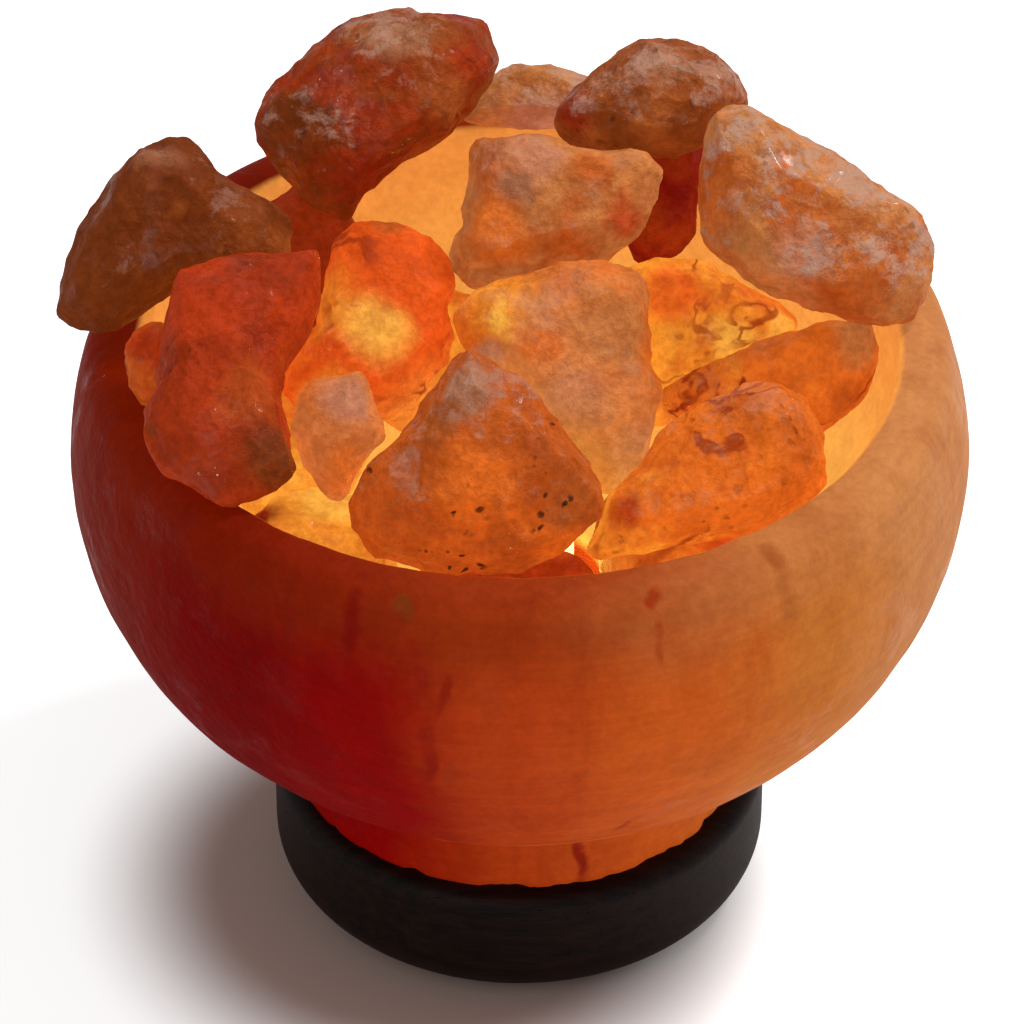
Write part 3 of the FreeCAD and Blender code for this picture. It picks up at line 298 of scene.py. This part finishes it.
def salt(name, tones, spots=(), points=None, glow=0.5, heat=1.0, frost=0.0, frost_from=0.5,
         veins=0.0, specks=0.0, sparkle=0.5, glints=0.5, cloudy=0.3, gloss=0.06, relief=0.0026,
         tall=1.0, tones_by_place=None):
    """Rock salt: cloudy tones, stains, veins, dark grains, a frost that is partly its own bloom and partly painted
    light where it faces up, painted glints, and the lamp's glow painted in as emission and as a honey colour near
    the bulb. Each spot is across, down and size in the front view, a tone and a strength."""
    # The glow is emission: painted light that stands in for the bulb's light passing through the salt.
    stone = Finish(name, Specular_IOR_Level=gloss, Emission_Strength=glow, Coat_Roughness=0.12)
    dark, middle, light = (tint(*TONES[tone]) for tone in tones)
    wander = stone.node("TexNoise", {}, {"Vector": stone.place, "Scale": 55.0, "Detail": 4.0}, 1)
    shift = stone.vector("SUBTRACT", wander, (0.5, 0.5, 0.5))
    shift = stone.vector("MULTIPLY_ADD", shift, (WANDER,) * 3, stone.place)
    cloud = stone.noise(26, 4, 0.55, warp=0.5)
    mottle = stone.noise(110, 3, 0.6)
    grain = stone.noise(520, 3, 0.7)
    if tones_by_place:
        colour = tones_by_place(stone)
    else:
        colour = stone.mix((cloud * 0.85 + mottle * 0.15).rise(0.38, 0.54), dark, middle)
        colour = stone.mix((cloud * 0.8 + mottle * 0.2).rise(0.52, 0.66), colour, light)
    long_shift = stone.vector("MULTIPLY", shift, (1, 1, tall))
    for across, down, size, tone, strength in spots:
        where = tuple(spot_on(points, across, down) * (1, 1, tall))
        apart = stone.vector("DISTANCE", long_shift, where, output="Value")
        amount = apart.rise(size / SPOT_PIXELS, size / SPOT_PIXELS / 3) * strength
        colour = stone.mix(amount, colour, tint(*TONES[tone]))
    # Painted light from the bulb: near it the salt is mixed toward the honey tone.
    near = stone.vector("DISTANCE", shift, BULB, output="Value")
    colour = stone.mix(near.rise(0.058, 0.018) * heat, colour, tint(*TONES["honey_glow"]))
    colour = cloudiness(stone, colour, mottle, grain, cloudy)
    if veins:
        line = (stone.noise(24, 4, 0.55, shift, 0.8) - 0.5).math("ABSOLUTE").rise(0.028, 0.003)
        line = line * stone.noise(40, 2).rise(0.46, 0.6) * veins
        colour = stone.mix(line, colour, tint(*TONES["rust"]))
    if specks:
        dots = stone.node("TexVoronoi", {}, {"Vector": shift, "Scale": 300.0}, "Distance")
        dots = dots.rise(0.3, 0.14) * stone.noise(50, 3).rise(0.5, 0.62) * specks
        colour = stone.mix(dots, colour, tint(60, 24, 8))
    shine = colour
    # Frost, partly the salt's own whitish bloom and partly painted light: it gathers on faces turned up, where the
    # lamp above lights them.
    if frost:
        facing = stone.node("SeparateXYZ", {}, {0: stone.place.part("Normal")}, "Z")
        skin = stone.noise(70, 6, 0.8, shift) + facing * 0.16
        skin = skin.rise(frost_from + 0.07, frost_from + 0.2) * frost
        colour = stone.mix(skin, colour, tint(*TONES["rime_and_top_light"]))
        shine = stone.mix(skin * 0.8, shine, tint(140, 92, 66))
    base = stone.mix(1.0, colour, (1 - glow * 0.9,) * 3 + (1,), "MULTIPLY")

    # Painted glints: fine white specks in the base and glow colours, in loose patches.
    glint_from = 0.64 - glints * 0.06
    painted_glints = stone.noise(900, 2, 0.6).rise(0.66, 0.74)
    painted_glints = painted_glints * stone.noise(60, 4, 0.65, shift).rise(glint_from, glint_from + 0.08)
    base = stone.mix(painted_glints * 0.8, base, tint(236, 222, 208))
    shine = stone.mix(painted_glints * 0.5, shine, tint(236, 200, 160))

    # The skin's relief, and broken grains' faces that lean each its own way.
    pits = stone.node("TexVoronoi", {"feature": "SMOOTH_F1"}, {"Vector": shift, "Scale": 230.0}, "Distance")
    height = mottle * 1.0 + grain * 0.35 + pits * 0.5
    facets = stone.node("TexVoronoi", {}, {"Vector": shift, "Scale": 620.0}, "Color")
    tilt = stone.vector("SUBTRACT", facets, (0.5, 0.5, 0.5))
    patch = stone.noise(60, 4, 0.6).rise(0.52, 0.64)
    tilt = stone.node("VectorMath", {"operation": "SCALE"}, {0: tilt, "Scale": patch * sparkle * FACET_TILT})
    normal = stone.vector("ADD", stone.bump(height, relief), tilt)
    normal = stone.node("VectorMath", {"operation": "NORMALIZE"}, {0: normal})
    return stone.done(Base_Color=base, Emission_Color=shine, Normal=normal,
                      Roughness=0.42 + grain * 0.3 - patch * 0.2, Coat_Weight=patch * (sparkle * 0.5))


def arc(across, up, radius, start, end, count):
    """Points along a circle's arc in the plane of the profile, angles in degrees from outwards."""
    turn = np.radians(np.linspace(start, end, count))
    return np.stack([across + radius * np.cos(turn), up + radius * np.sin(turn)], axis=1)


def spaced(points, step):
    """The same line cut into equal steps."""
    along = np.concatenate([[0], np.cumsum(np.hypot(*np.diff(points, axis=0).T))])
    stations = np.linspace(0, along[-1], max(2, round(along[-1] / step)) + 1)
    return np.stack([np.interp(stations, along, points[:, k]) for k in (0, 1)], axis=1)


# The profile in millimetres, as (distance from the axis, height), from the
# lower end of the bore out along the foot, up the wall, over the rim and down
# inside to the bore again.
profile = np.vstack([
    [[19, 33.4], [52.8, 33.4], [54.3, 34.9]],
    arc(61.3, 58.3, 7, 180, 90, 9),
    arc(73.45, 68.3, 3, -90, -50.8, 6),
    arc(30.55, 121, 70.95, -50.8, 20.27, 60),
    arc(90.05, 143, 7.5, 20.27, 90, 12),
    arc(87.6, 147.5, 3, 90, 180, 8),
    arc(34.6, 135, 50, 0, -90, 40),
    [[19, 85]],
])
FOOT = 0.0334           # heights of the foot's edge, the ledge under the wall and the rim, in metres
LEDGE = 0.0683
RIM = 0.1505
STEP = 1.75             # between two rings of the mesh, in millimetres
SECTORS = 400
SKIN = 0.0003           # the rock's unevenness stays this far inside the turned form
ring = spaced(np.vstack([profile, profile[:1]]), STEP)[:-1] / 1000
turn = np.linspace(0, 2 * math.pi, SECTORS, endpoint=False)
radius, height = ring[:, :1], ring[:, 1:]
place = np.stack([radius * np.cos(turn), radius * np.sin(turn), height + 0 * turn], axis=-1).reshape(-1, 3)
away = np.stack([np.cos(turn), np.sin(turn), 0 * turn], axis=-1)
away = np.broadcast_to(away, (len(ring), SECTORS, 3)).reshape(-1, 3)
wall = np.hypot(place[:, 0], place[:, 1])
free = np.clip((wall - 0.03) / 0.02, 0, 1)
uneven = waves(place, 0.03, 5) * 0.00035 + waves(place, 0.008, 11, 2) * 0.00012
near_foot = np.exp(-((place[:, 2] - FOOT) / 0.004) ** 2) * (wall > 0.05)
chips = np.clip(waves(place, 0.006, 23), 0, 2) * 0.0016 * near_foot
at_rim = np.exp(-((place[:, 2] - RIM) / 0.004) ** 2)
dents = np.clip(waves(place, 0.007, 31) + 0.1, 0, 2) * 0.0007 * at_rim
place = place + away * ((uneven - SKIN) * free - chips)[:, None]
place[:, 2] -= dents
bowl = grid_mesh("bowl_of_salt", place, len(ring), SECTORS, closed_rows=True)
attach(bowl, "lamp")
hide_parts("salt_bowl")


# The bands of the wall from left to right: where each begins and is full, in
# metres from the middle, and its colour. Over the salt's own red they paint shade
# at the left and light at the right, where the lamp falls.
WALL_TONE_LIGHT_AND_SHADE_BANDS = ((-0.095, -0.07, (108, 0, 0)), (-0.06, -0.03, (132, 3, 1)), (-0.03, 0.0, (172, 58, 15)),
              (0.0, 0.035, (196, 84, 24)), (0.03, 0.068, (198, 114, 44)), (0.06, 0.095, (200, 130, 78)))


def wall_tones_and_painted_light(stone):
    """The wall runs from deep red at the left to tan at the right, painted shade at the left and painted light at
    the right over the salt's own red; its lit inside is pale orange.
    """
    x = stone.node("SeparateXYZ", {}, {0: stone.place}, "X")
    z = x.part("Z")
    drift = stone.noise(14, 5, 0.62, warp=0.6) - 0.5
    along = x + drift * 0.045
    up = z + drift * 0.03
    shade = tint(112, 20, 2)
    # Painted shade at the left and painted light at the right, over the salt's own red; the rim follows the same
    # way.
    for start, end, tone in WALL_TONE_LIGHT_AND_SHADE_BANDS:
        shade = stone.mix(along.rise(start, end), shade, tint(*tone))
    brim = stone.mix(along.rise(-0.07, 0.0), tint(118, 26, 2), tint(138, 44, 8))
    brim = stone.mix(along.rise(0.0, 0.08), brim, tint(200, 128, 72))
    shade = stone.mix(up.rise(0.126, 0.148) * 0.7, shade, brim)
    drips = stone.noise(1.0, 5, 0.62, stone.stretched(70, 70, 7), 0.5).rise(0.52, 0.7)
    turned = stone.noise(1.0, 2, 0.5, stone.stretched(5, 5, 900)).rise(0.35, 0.65)
    shade = stone.shaded(drips * 0.3, shade, (0.66, 0.4, 0.34, 1))
    shade = stone.shaded(turned * 0.16, shade, (0.7, 0.62, 0.6, 1))
    flat = stone.vector("MULTIPLY", stone.place, (1, 1, 0))
    reach = stone.node("VectorMath", {"operation": "LENGTH"}, {0: flat}, "Value")
    # Painted shade: the wall just under the ledge is darkened.
    under = z.rise(LEDGE + 0.0002, LEDGE - 0.0023) * reach.rise(0.058, 0.066)
    shade = stone.shaded(under * 0.6, shade, (0.42, 0.3, 0.26, 1))
    # Painted highlight: a lighter orange line along the ledge's edge.
    edge = (z - (LEDGE - 0.0001)).math("ABSOLUTE").rise(0.0014, 0.0004) * reach.rise(0.07, 0.074)
    shade = stone.mix(edge * 0.4, shade, tint(232, 132, 70))
    inside = reach.rise(0.0862, 0.0846) * z.rise(0.08, 0.084)
    lit = stone.mix(up.rise(0.085, 0.145), tint(255, 200, 92), tint(250, 164, 74))
    return stone.mix(inside, shade, lit)


bowl.data.materials.append(salt(
    "bowl_salt", ("deep_red",) * 3, tones_by_place=wall_tones_and_painted_light, points=place, glow=0.62, veins=0.0, heat=0.0,
    sparkle=0.05, glints=-0.4, cloudy=0.14, gloss=0.03, relief=0.001, tall=0.22,
    spots=[(402, 612, 11, "umber", 0.8), (412, 670, 12, "oxblood", 0.7), (436, 690, 9, "oxblood", 0.7),
           (428, 760, 12, "oxblood", 0.7), (450, 780, 9, "rust", 0.6), (650, 598, 10, "rust", 0.9),
           (664, 640, 8, "rust", 0.7), (782, 565, 15, "chestnut", 0.8), (582, 862, 9, "oxblood", 0.9),
           (618, 828, 8, "rust", 0.7), (400, 860, 18, "oxblood", 0.6), (355, 640, 14, "deep_red", 0.7)]))

# ---------------------------------------------------------------------------
# The lamp holder: a moulded sleeve closed by a cap that clamps the cord. Inside
# it a ceramic core carries the brass screw shell, contact and terminals.
# ---------------------------------------------------------------------------
moulding = Finish("white_moulding", Coat_Weight=0.1)
mottle = moulding.noise(300, 3)
moulding = moulding.done(Base_Color=moulding.mix(mottle, tint(222, 218, 206), tint(236, 233, 224)),
                         Roughness=0.34 + mottle * 0.12, Normal=moulding.bump(mottle, 0.00003))
for part in ("holder_sleeve", "holder_cap", "cord_clamp"):
    dress(part, moulding)
porcelain = Finish("unglazed_porcelain")
chalk = porcelain.noise(800, 3)
dress("holder_core", porcelain.done(Base_Color=porcelain.mix(chalk, tint(226, 222, 210), tint(240, 238, 230)),
                                    Roughness=0.6 + chalk * 0.2, Normal=porcelain.bump(chalk, 0.00005)))
brass = Finish("stamped_brass", Metallic=1.0)
tarnish = brass.noise(260, 4, 0.6)
brass = brass.done(Base_Color=brass.mix(tarnish.rise(0.4, 0.7), tint(206, 170, 96), tint(160, 116, 54)),
                   Roughness=0.22 + tarnish * 0.25, Normal=brass.bump(tarnish, 0.00004))
for part in ("thread_shell", "centre_contact", "terminal_blocks"):
    dress(part, brass)

# Spring steel clips are riveted to the sleeve and grip the wall of the bore.
spring = Finish("spring_steel", Metallic=1.0)
rolled = spring.noise(1.0, 3, 0.5, spring.stretched(1200, 1200, 60))
spring = spring.done(Base_Color=spring.mix(rolled, tint(128, 130, 134), tint(182, 184, 188)),
                     Roughness=0.24 + rolled * 0.2, Normal=spring.bump(rolled, 0.00003))
for part in ("spring_clip_left", "spring_clip_right"):
    dress(part, spring)

# ---------------------------------------------------------------------------
# The bulb: a small clear round bulb on a nickel-plated screw cap, lit.
# ---------------------------------------------------------------------------
nickel = Finish("nickel_plate", Metallic=1.0)
smear = nickel.noise(420, 3)
dress("bulb_cap", nickel.done(Base_Color=nickel.mix(smear, tint(176, 168, 146), tint(214, 208, 190)),
                              Roughness=0.18 + smear * 0.2, Normal=nickel.bump(smear, 0.00003)))
solder = Finish("solder", Metallic=1.0)
pool = solder.noise(600, 3)
dress("bulb_contact", solder.done(Base_Color=solder.mix(pool, tint(150, 150, 148), tint(204, 204, 200)),
                                  Roughness=0.3 + pool * 0.3, Normal=solder.bump(pool, 0.0002)))
vitrite = Finish("black_glass", Coat_Weight=0.6)
swirl = vitrite.noise(300, 2)
dress("bulb_insulator", vitrite.done(Base_Color=vitrite.mix(swirl, tint(10, 10, 12), tint(28, 26, 30)),
                                     Roughness=0.12 + swirl * 0.1))
glass = Finish("lit_clear_glass", Transmission_Weight=0.85, IOR=1.45, Emission_Strength=1.3)
warmth = glass.noise(70, 2)
glass = glass.done(Base_Color=glass.mix(warmth, tint(255, 244, 224), tint(255, 250, 240)),
                   Emission_Color=glass.mix(warmth, tint(255, 186, 96), tint(255, 204, 124)),
                   Roughness=0.06 + warmth * 0.06)
dress("bulb_glass", glass)
dress("glass_stem", glass)
hot = Finish("hot_tungsten", Emission_Strength=12.0)
coil = hot.noise(3000, 1)
dress("filament", hot.done(Base_Color=hot.mix(coil, tint(90, 80, 70), tint(130, 120, 110)),
                           Emission_Color=hot.mix(coil, tint(255, 190, 96), tint(255, 222, 150)),
                           Roughness=0.4 + coil * 0.2))
leads = Finish("lead_wire", Metallic=1.0)
drawn = leads.noise(1500, 2)
dress("lead_wires", leads.done(Base_Color=leads.mix(drawn, tint(120, 116, 110), tint(168, 162, 154)),
                               Roughness=0.3 + drawn * 0.2))

# ---------------------------------------------------------------------------
# The heap: chunks broken from the same rock, tumbled so that their edges are
# blunt. Each lies on the ones below it, and the lowest ring stands clear of
# the bulb.
# ---------------------------------------------------------------------------


def middle_of(corners, faces):
    """A point from which every face of the chunk can be seen: steps back from the tightest face, in
    shrinking steps."""
    a, b, c = (corners[faces[:, k]] for k in range(3))
    outward = np.cross(b - a, c - a)
    size = np.linalg.norm(outward, axis=1)
    a, outward = a[size > 1e-12], outward[size > 1e-12]
    outward /= np.linalg.norm(outward, axis=1)[:, None]
    level = (outward * a).sum(axis=1)
    centre = corners.mean(axis=0)
    best, found = -1.0, centre
    for stride in np.linspace(0.004, 0.0001, 400):
        room = level - outward @ centre
        if room.min() > best:
            best, found = room.min(), centre
        centre = centre - outward[room.argmin()] * stride
    return found


def reach_of(centre, directions, corners, faces):
    """How far the chunk's surface lies from its middle in each direction: the ray is put through
    every triangle."""
    a, b, c = (corners[faces[:, k]] - centre for k in range(3))
    reach = np.zeros(len(directions))
    for p, q, r in zip(a, b, c):
        sides = [directions @ np.cross(p, q), directions @ np.cross(q, r), directions @ np.cross(r, p)]
        inside = (np.minimum.reduce(sides) >= -1e-9) | (np.maximum.reduce(sides) <= 1e-9)
        normal = np.cross(q - p, r - p)
        slant = directions @ normal
        with np.errstate(divide="ignore", invalid="ignore"):
            away = (p @ normal) / slant
        hit = inside & (away > 0) & np.isfinite(away)
        reach[hit] = np.maximum(reach[hit], away[hit])
    return reach


def blunted(reach, slant, width):
    """The same surface with its ridges rounded: blurred along each parallel and along each ring
    through both poles."""
    rows, columns = reach.shape
    order = np.arange(columns // 2 + 1)
    fade = np.exp(-(order * width / np.sin(slant)[:, None]) ** 2 / 2)
    reach = np.fft.irfft(np.fft.rfft(reach, axis=1) * fade, columns, axis=1)
    half = columns // 2
    rings = np.concatenate([reach[:, :half], reach[::-1, half:]])
    order = np.arange(rows + 1)[:, None]
    rings = np.fft.irfft(np.fft.rfft(rings, axis=0) * np.exp(-(order * width) ** 2 / 2), 2 * rows, axis=0)
    return np.concatenate([rings[:rows], rings[:rows - 1:-1]], axis=1)


def chipped(reach, way, depth, chips, seed):
    """The same surface with corners knocked off: no point may lie past any of many planes set just
    inside its reach."""
    thrown = np.random.default_rng(seed)
    axis = thrown.normal(size=(chips, 3))
    axis /= np.linalg.norm(axis, axis=1)[:, None]
    edge = (way * reach[:, None] @ axis.T).max(axis=0) - depth * thrown.uniform(0.1, 1, chips)
    slant = way @ axis.T
    return np.minimum(reach, np.where(slant > 0.05, edge / np.maximum(slant, 0.05), np.inf).min(axis=1))


BLUNT = 0.012           # how far ridges are blurred, in radians
CHIPS = 70              # planes that knock corners off a chunk


def chunk(name, body, slot, tones, rows=110, seed=1, **look):
    """One chunk: its distance from its middle as a function of two angles, blunted, chipped, then
    scooped and pitted."""
    node = "chunk_" + name
    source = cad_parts[node].data
    corners = np.empty(len(source.vertices) * 3, np.float32)
    source.vertices.foreach_get("co", corners)
    corners = corners.reshape(-1, 3).astype(float)
    faces = np.empty(len(source.loops), np.int32)
    source.loops.foreach_get("vertex_index", faces)
    faces = faces.reshape(-1, 3)
    centre = middle_of(corners, faces)
    columns = rows * 2
    slant = (np.arange(rows) + 0.5) * math.pi / rows
    turn = np.arange(columns) * 2 * math.pi / columns
    # The poles of the grid point left and right, where the other chunks mostly hide them.
    way = np.stack([-np.cos(slant)[:, None] + 0 * turn, np.sin(slant)[:, None] * np.cos(turn),
                    np.sin(slant)[:, None] * np.sin(turn)], axis=-1).reshape(-1, 3)
    reach = reach_of(centre, way, corners, faces).reshape(rows, columns)
    reach = blunted(reach, slant, BLUNT).reshape(-1)
    width = np.ptp(way * reach[:, None], axis=0).max()
    reach = chipped(reach, way, width * 0.03, CHIPS, seed)
    points = centre + way * reach[:, None]
    relief = scoops(points, width * 0.2, seed * 7) * width * 0.038
    relief += scoops(points, width * 0.085, seed * 7 + 3) * width * 0.016
    relief += waves(points, 0.004, seed * 7 + 9) * 0.00025
    points = centre + way * (reach + relief - SKIN)[:, None]
    grid = points.reshape(rows, columns, 3)
    piece = grid_mesh("salt_" + name, points, rows, columns, ends=[grid[0].mean(axis=0), grid[-1].mean(axis=0)])
    piece.data.materials.append(salt("salt_" + name, tones, points=points, **look))
    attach(piece, body)
    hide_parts(node)


# The lowest ring, next to the bulb, so lit through.
chunk("bed_front", "heap", "orange_salt", ("rust", "brick", "ember"), rows=70, seed=40, glow=0.7, heat=0.5,
      veins=0.5)
chunk("bed_front_right", "heap", "orange_salt", ("ember", "orange", "amber"), rows=70, seed=41, glow=0.72, veins=0.5)
chunk("bed_right", "heap", "orange_salt", ("orange", "amber", "honey_glow"), rows=70, seed=42, glow=0.72)
chunk("bed_back_right", "heap", "orange_salt", ("orange", "amber", "honey_glow"), rows=60, seed=43, glow=0.72)
chunk("bed_back_left", "heap", "red_salt", ("ember", "orange", "amber"), rows=60, seed=44, glow=0.72)
chunk("bed_left", "heap", "orange_salt", ("orange", "amber", "honey_glow"), rows=70, seed=45, glow=0.72)
chunk("bed_front_left", "heap", "red_salt", ("orange", "amber", "honey_glow"), rows=80, seed=46, glow=0.75, veins=0.6,
      spots=[(255, 520, 34, "oxblood", 1.0), (330, 500, 40, "honey_glow", 0.8)])

# The chunks in the middle of the heap.
chunk("right_inner", "heap", "orange_salt", ("orange", "amber", "amber"), seed=2, glow=0.75, veins=0.8,
      spots=[(672, 285, 40, "ember", 0.8), (725, 335, 30, "honey_glow", 0.9), (780, 325, 30, "honey_glow", 0.7)])
chunk("back_right_low", "heap", "red_salt", ("deep_red", "oxblood", "rust"), rows=80, seed=3, glow=0.55,
      spots=[(675, 165, 24, "rust", 0.7)])
chunk("back_left_low", "heap", "red_salt", ("rust", "rust", "caramel"), rows=80, seed=4, glow=0.6)
chunk("inner_left_low", "heap", "pale_salt", ("caramel", "peach", "orange"), rows=80, seed=5, glow=0.6,
      spots=[(348, 395, 36, "lilac_frost_and_sheen", 0.95), (345, 470, 30, "orange", 0.6)], frost=0.2, frost_from=0.54)
chunk("right_wedge", "heap", "orange_salt", ("orange", "orange", "amber"), seed=6, glow=0.62, veins=1.0,
      spots=[(858, 340, 34, "tan", 0.9), (850, 400, 26, "caramel", 0.8), (700, 385, 30, "orange", 0.7)],
      frost=0.25, frost_from=0.55)
chunk("centre", "heap", "orange_salt", ("orange", "peach", "peach"), seed=7, glow=0.6, rows=130,
      spots=[(500, 300, 46, "amber", 0.7), (505, 320, 20, "honey_glow", 0.9), (620, 330, 50, "tan", 0.9),
             (488, 355, 26, "lilac_frost_and_sheen", 0.9), (545, 345, 30, "orange", 0.7), (570, 400, 40, "lilac_frost_and_sheen", 0.6),
             (630, 450, 40, "lilac_frost_and_sheen", 0.7)], frost=0.3, frost_from=0.55)
chunk("inner_left", "heap", "orange_salt", ("ember", "ember", "orange"), seed=8, glow=0.72, veins=0.8, rows=130,
      spots=[(388, 226, 26, "caramel", 0.9), (372, 330, 44, "honey_glow", 0.8), (330, 300, 50, "amber", 0.5),
             (440, 320, 30, "ember", 0.8), (330, 400, 40, "amber", 0.7)])
chunk("left_rim", "heap", "orange_salt", ("brick", "caramel", "orange"), rows=60, seed=9, glow=0.6)
chunk("right_front", "heap", "orange_salt", ("orange", "orange", "amber"), seed=10, glow=0.65, veins=0.8, rows=130,
      specks=0.4, spots=[(745, 400, 34, "caramel", 0.8), (620, 510, 26, "brick", 0.8), (690, 500, 40, "orange", 0.7),
                         (800, 440, 34, "caramel", 0.6)], frost=0.3, frost_from=0.54)
chunk("centre_top", "heap", "pale_salt", ("caramel", "tan", "peach"), seed=11, glow=0.5, rows=130,
      spots=[(545, 150, 36, "lilac_frost_and_sheen", 0.8), (520, 185, 26, "ash_frost_and_sheen", 0.9), (600, 170, 30, "caramel", 0.8),
             (495, 235, 44, "orange", 0.7), (625, 220, 30, "brick", 0.8)], frost=0.3, frost_from=0.55)

# The chunks on top, which lift off one by one.
# On the left front chunk the umber spot low at the right is painted shade in its fold.
chunk("left_front", "left_front_chunk", "red_salt", ("rust", "brick", "brick"), seed=12, glow=0.55, rows=130,
      veins=0.5, specks=0.4, spots=[(275, 455, 44, "umber", 0.9), (250, 390, 40, "caramel", 0.5),
                                    (225, 300, 60, "brick", 0.6), (150, 430, 14, "umber", 0.7)])
chunk("front", "front_chunk", "orange_salt", ("caramel", "caramel", "orange"), seed=13, glow=0.5, rows=130,
      specks=1.0, spots=[(465, 380, 40, "ash_frost_and_sheen", 0.9), (435, 420, 30, "chestnut", 0.8), (475, 485, 50, "orange", 0.8),
                         (570, 500, 40, "chestnut", 0.7), (400, 550, 50, "caramel", 0.6)],
      frost=0.5, frost_from=0.53)
chunk("back", "back_chunk", "pale_salt", ("tan", "lilac_frost_and_sheen", "rime_and_top_light"), rows=80, seed=14, glow=0.35, frost=0.6,
      frost_from=0.5, sparkle=0.9, glints=1.3)
chunk("right_top", "right_top_chunk", "pale_salt", ("caramel", "tan", "peach"), seed=15, glow=0.4, rows=130,
      spots=[(716, 190, 50, "caramel", 0.8), (800, 255, 44, "lilac_frost_and_sheen", 0.7), (860, 295, 50, "caramel", 0.7)],
      frost=0.8, frost_from=0.5, sparkle=0.6, glints=0.9)
chunk("back_right", "back_right_chunk", "brown_salt", ("umber", "brown", "chestnut"), seed=16, glow=0.35,
      spots=[(575, 112, 34, "oxblood", 0.8), (662, 66, 34, "ash_frost_and_sheen", 0.8), (725, 95, 26, "chestnut", 0.7)],
      frost=0.5, frost_from=0.54, specks=0.5, sparkle=0.6)
chunk("back_left", "back_left_chunk", "red_salt", ("umber", "rust", "brown"), seed=17, glow=0.4, rows=130,
      specks=0.4, spots=[(375, 175, 50, "oxblood", 0.7), (400, 40, 44, "ash_frost_and_sheen", 0.9), (440, 95, 40, "chestnut", 0.7),
                         (290, 130, 50, "umber", 0.6)], frost=0.5, frost_from=0.55, sparkle=0.7, glints=0.9)
chunk("left_top", "left_top_chunk", "brown_salt", ("umber", "umber", "brown"), seed=18, glow=0.45, rows=130,
      spots=[(165, 155, 30, "ash_frost_and_sheen", 0.6), (245, 225, 30, "brown", 0.8), (200, 250, 40, "umber", 0.7)],
      frost=0.3, frost_from=0.6, sparkle=0.8)

# ---------------------------------------------------------------------------
# The studio: a white floor, a soft lamp at the upper right, and a faint fill.
# The floor's white for the camera leaves the shadow beside the base.
# --------------------------------------------------------------------------- The floor is painted a darker brown near the base as a painted shadow, and painted white for the camera beyond it, so the real shadow ends short.
floor_mesh = bpy.data.meshes.new("studio_floor")
floor_mesh.from_pydata([(-4, -4, 0), (4, -4, 0), (4, 8, 0), (-4, 8, 0)], [], [(0, 1, 2, 3)])
floor = bpy.data.objects.new("studio_floor", floor_mesh)
bpy.context.scene.collection.objects.link(floor)
paper = Finish("white_paper", Roughness=0.9, Specular_IOR_Level=0.1, Emission_Strength=0.6)
seen = paper.node("LightPath", {}, {}, "Is Camera Ray")
# Painted shadow near the base; painted light for the camera farther out.
clear_of_painted_shadow = paper.node("VectorMath", {"operation": "DISTANCE"}, {0: paper.place, 1: (-0.02, -0.01, 0)}, "Value")
clear_of_painted_shadow = clear_of_painted_shadow.rise(0.05, 0.09)
paper.done(Base_Color=paper.mix(clear_of_painted_shadow, tint(186, 160, 150), tint(240, 240, 241)),
           Emission_Color=paper.mix(seen * clear_of_painted_shadow, (0, 0, 0, 1), (1, 1, 1, 1)))
floor_mesh.materials.append(paper.material)


def soft_light(name, place, aim, size, power, colour=(1, 1, 1)):
    """A square soft box at a place, turned towards a point."""
    data = bpy.data.lights.new(name, "AREA")
    data.shape, data.size, data.energy, data.color = "SQUARE", size, power, colour
    lamp = bpy.data.objects.new(name, data)
    bpy.context.scene.collection.objects.link(lamp)
    lamp.location = place
    lamp.rotation_euler = (Vector(aim) - Vector(place)).to_track_quat("-Z", "Y").to_euler()


soft_light("key_light", (0.6, 0.28, 1.2), (0, 0, 0.1), 0.3, 11.5, (1, 0.985, 0.97))
soft_light("front_fill", (-0.5, -1.1, 0.9), (0, 0, 0.1), 0.8, 2.5)
world = bpy.data.worlds.new("studio")
bpy.context.scene.world = world
world.use_nodes = True
world.node_tree.nodes["Background"].inputs["Color"].default_value = (1, 1, 1, 1)
world.node_tree.nodes["Background"].inputs["Strength"].default_value = 0.42

camera_data = bpy.data.cameras.new("front_view")
camera_data.sensor_width = 36
camera_data.lens = LENS_PIXELS / FRAME * camera_data.sensor_width
camera_data.clip_start, camera_data.clip_end = 0.05, 20
camera = bpy.data.objects.new("front_view", camera_data)
bpy.context.scene.collection.objects.link(camera)
camera.location = Vector(CAMERA_AIM) + Vector((0, -math.cos(SIGHT_TILT), math.sin(SIGHT_TILT))) * CAMERA_AWAY
camera.rotation_euler = (math.pi / 2 - SIGHT_TILT, 0, 0)
bpy.context.scene.camera = camera
bpy.context.scene.view_settings.view_transform = "Standard"
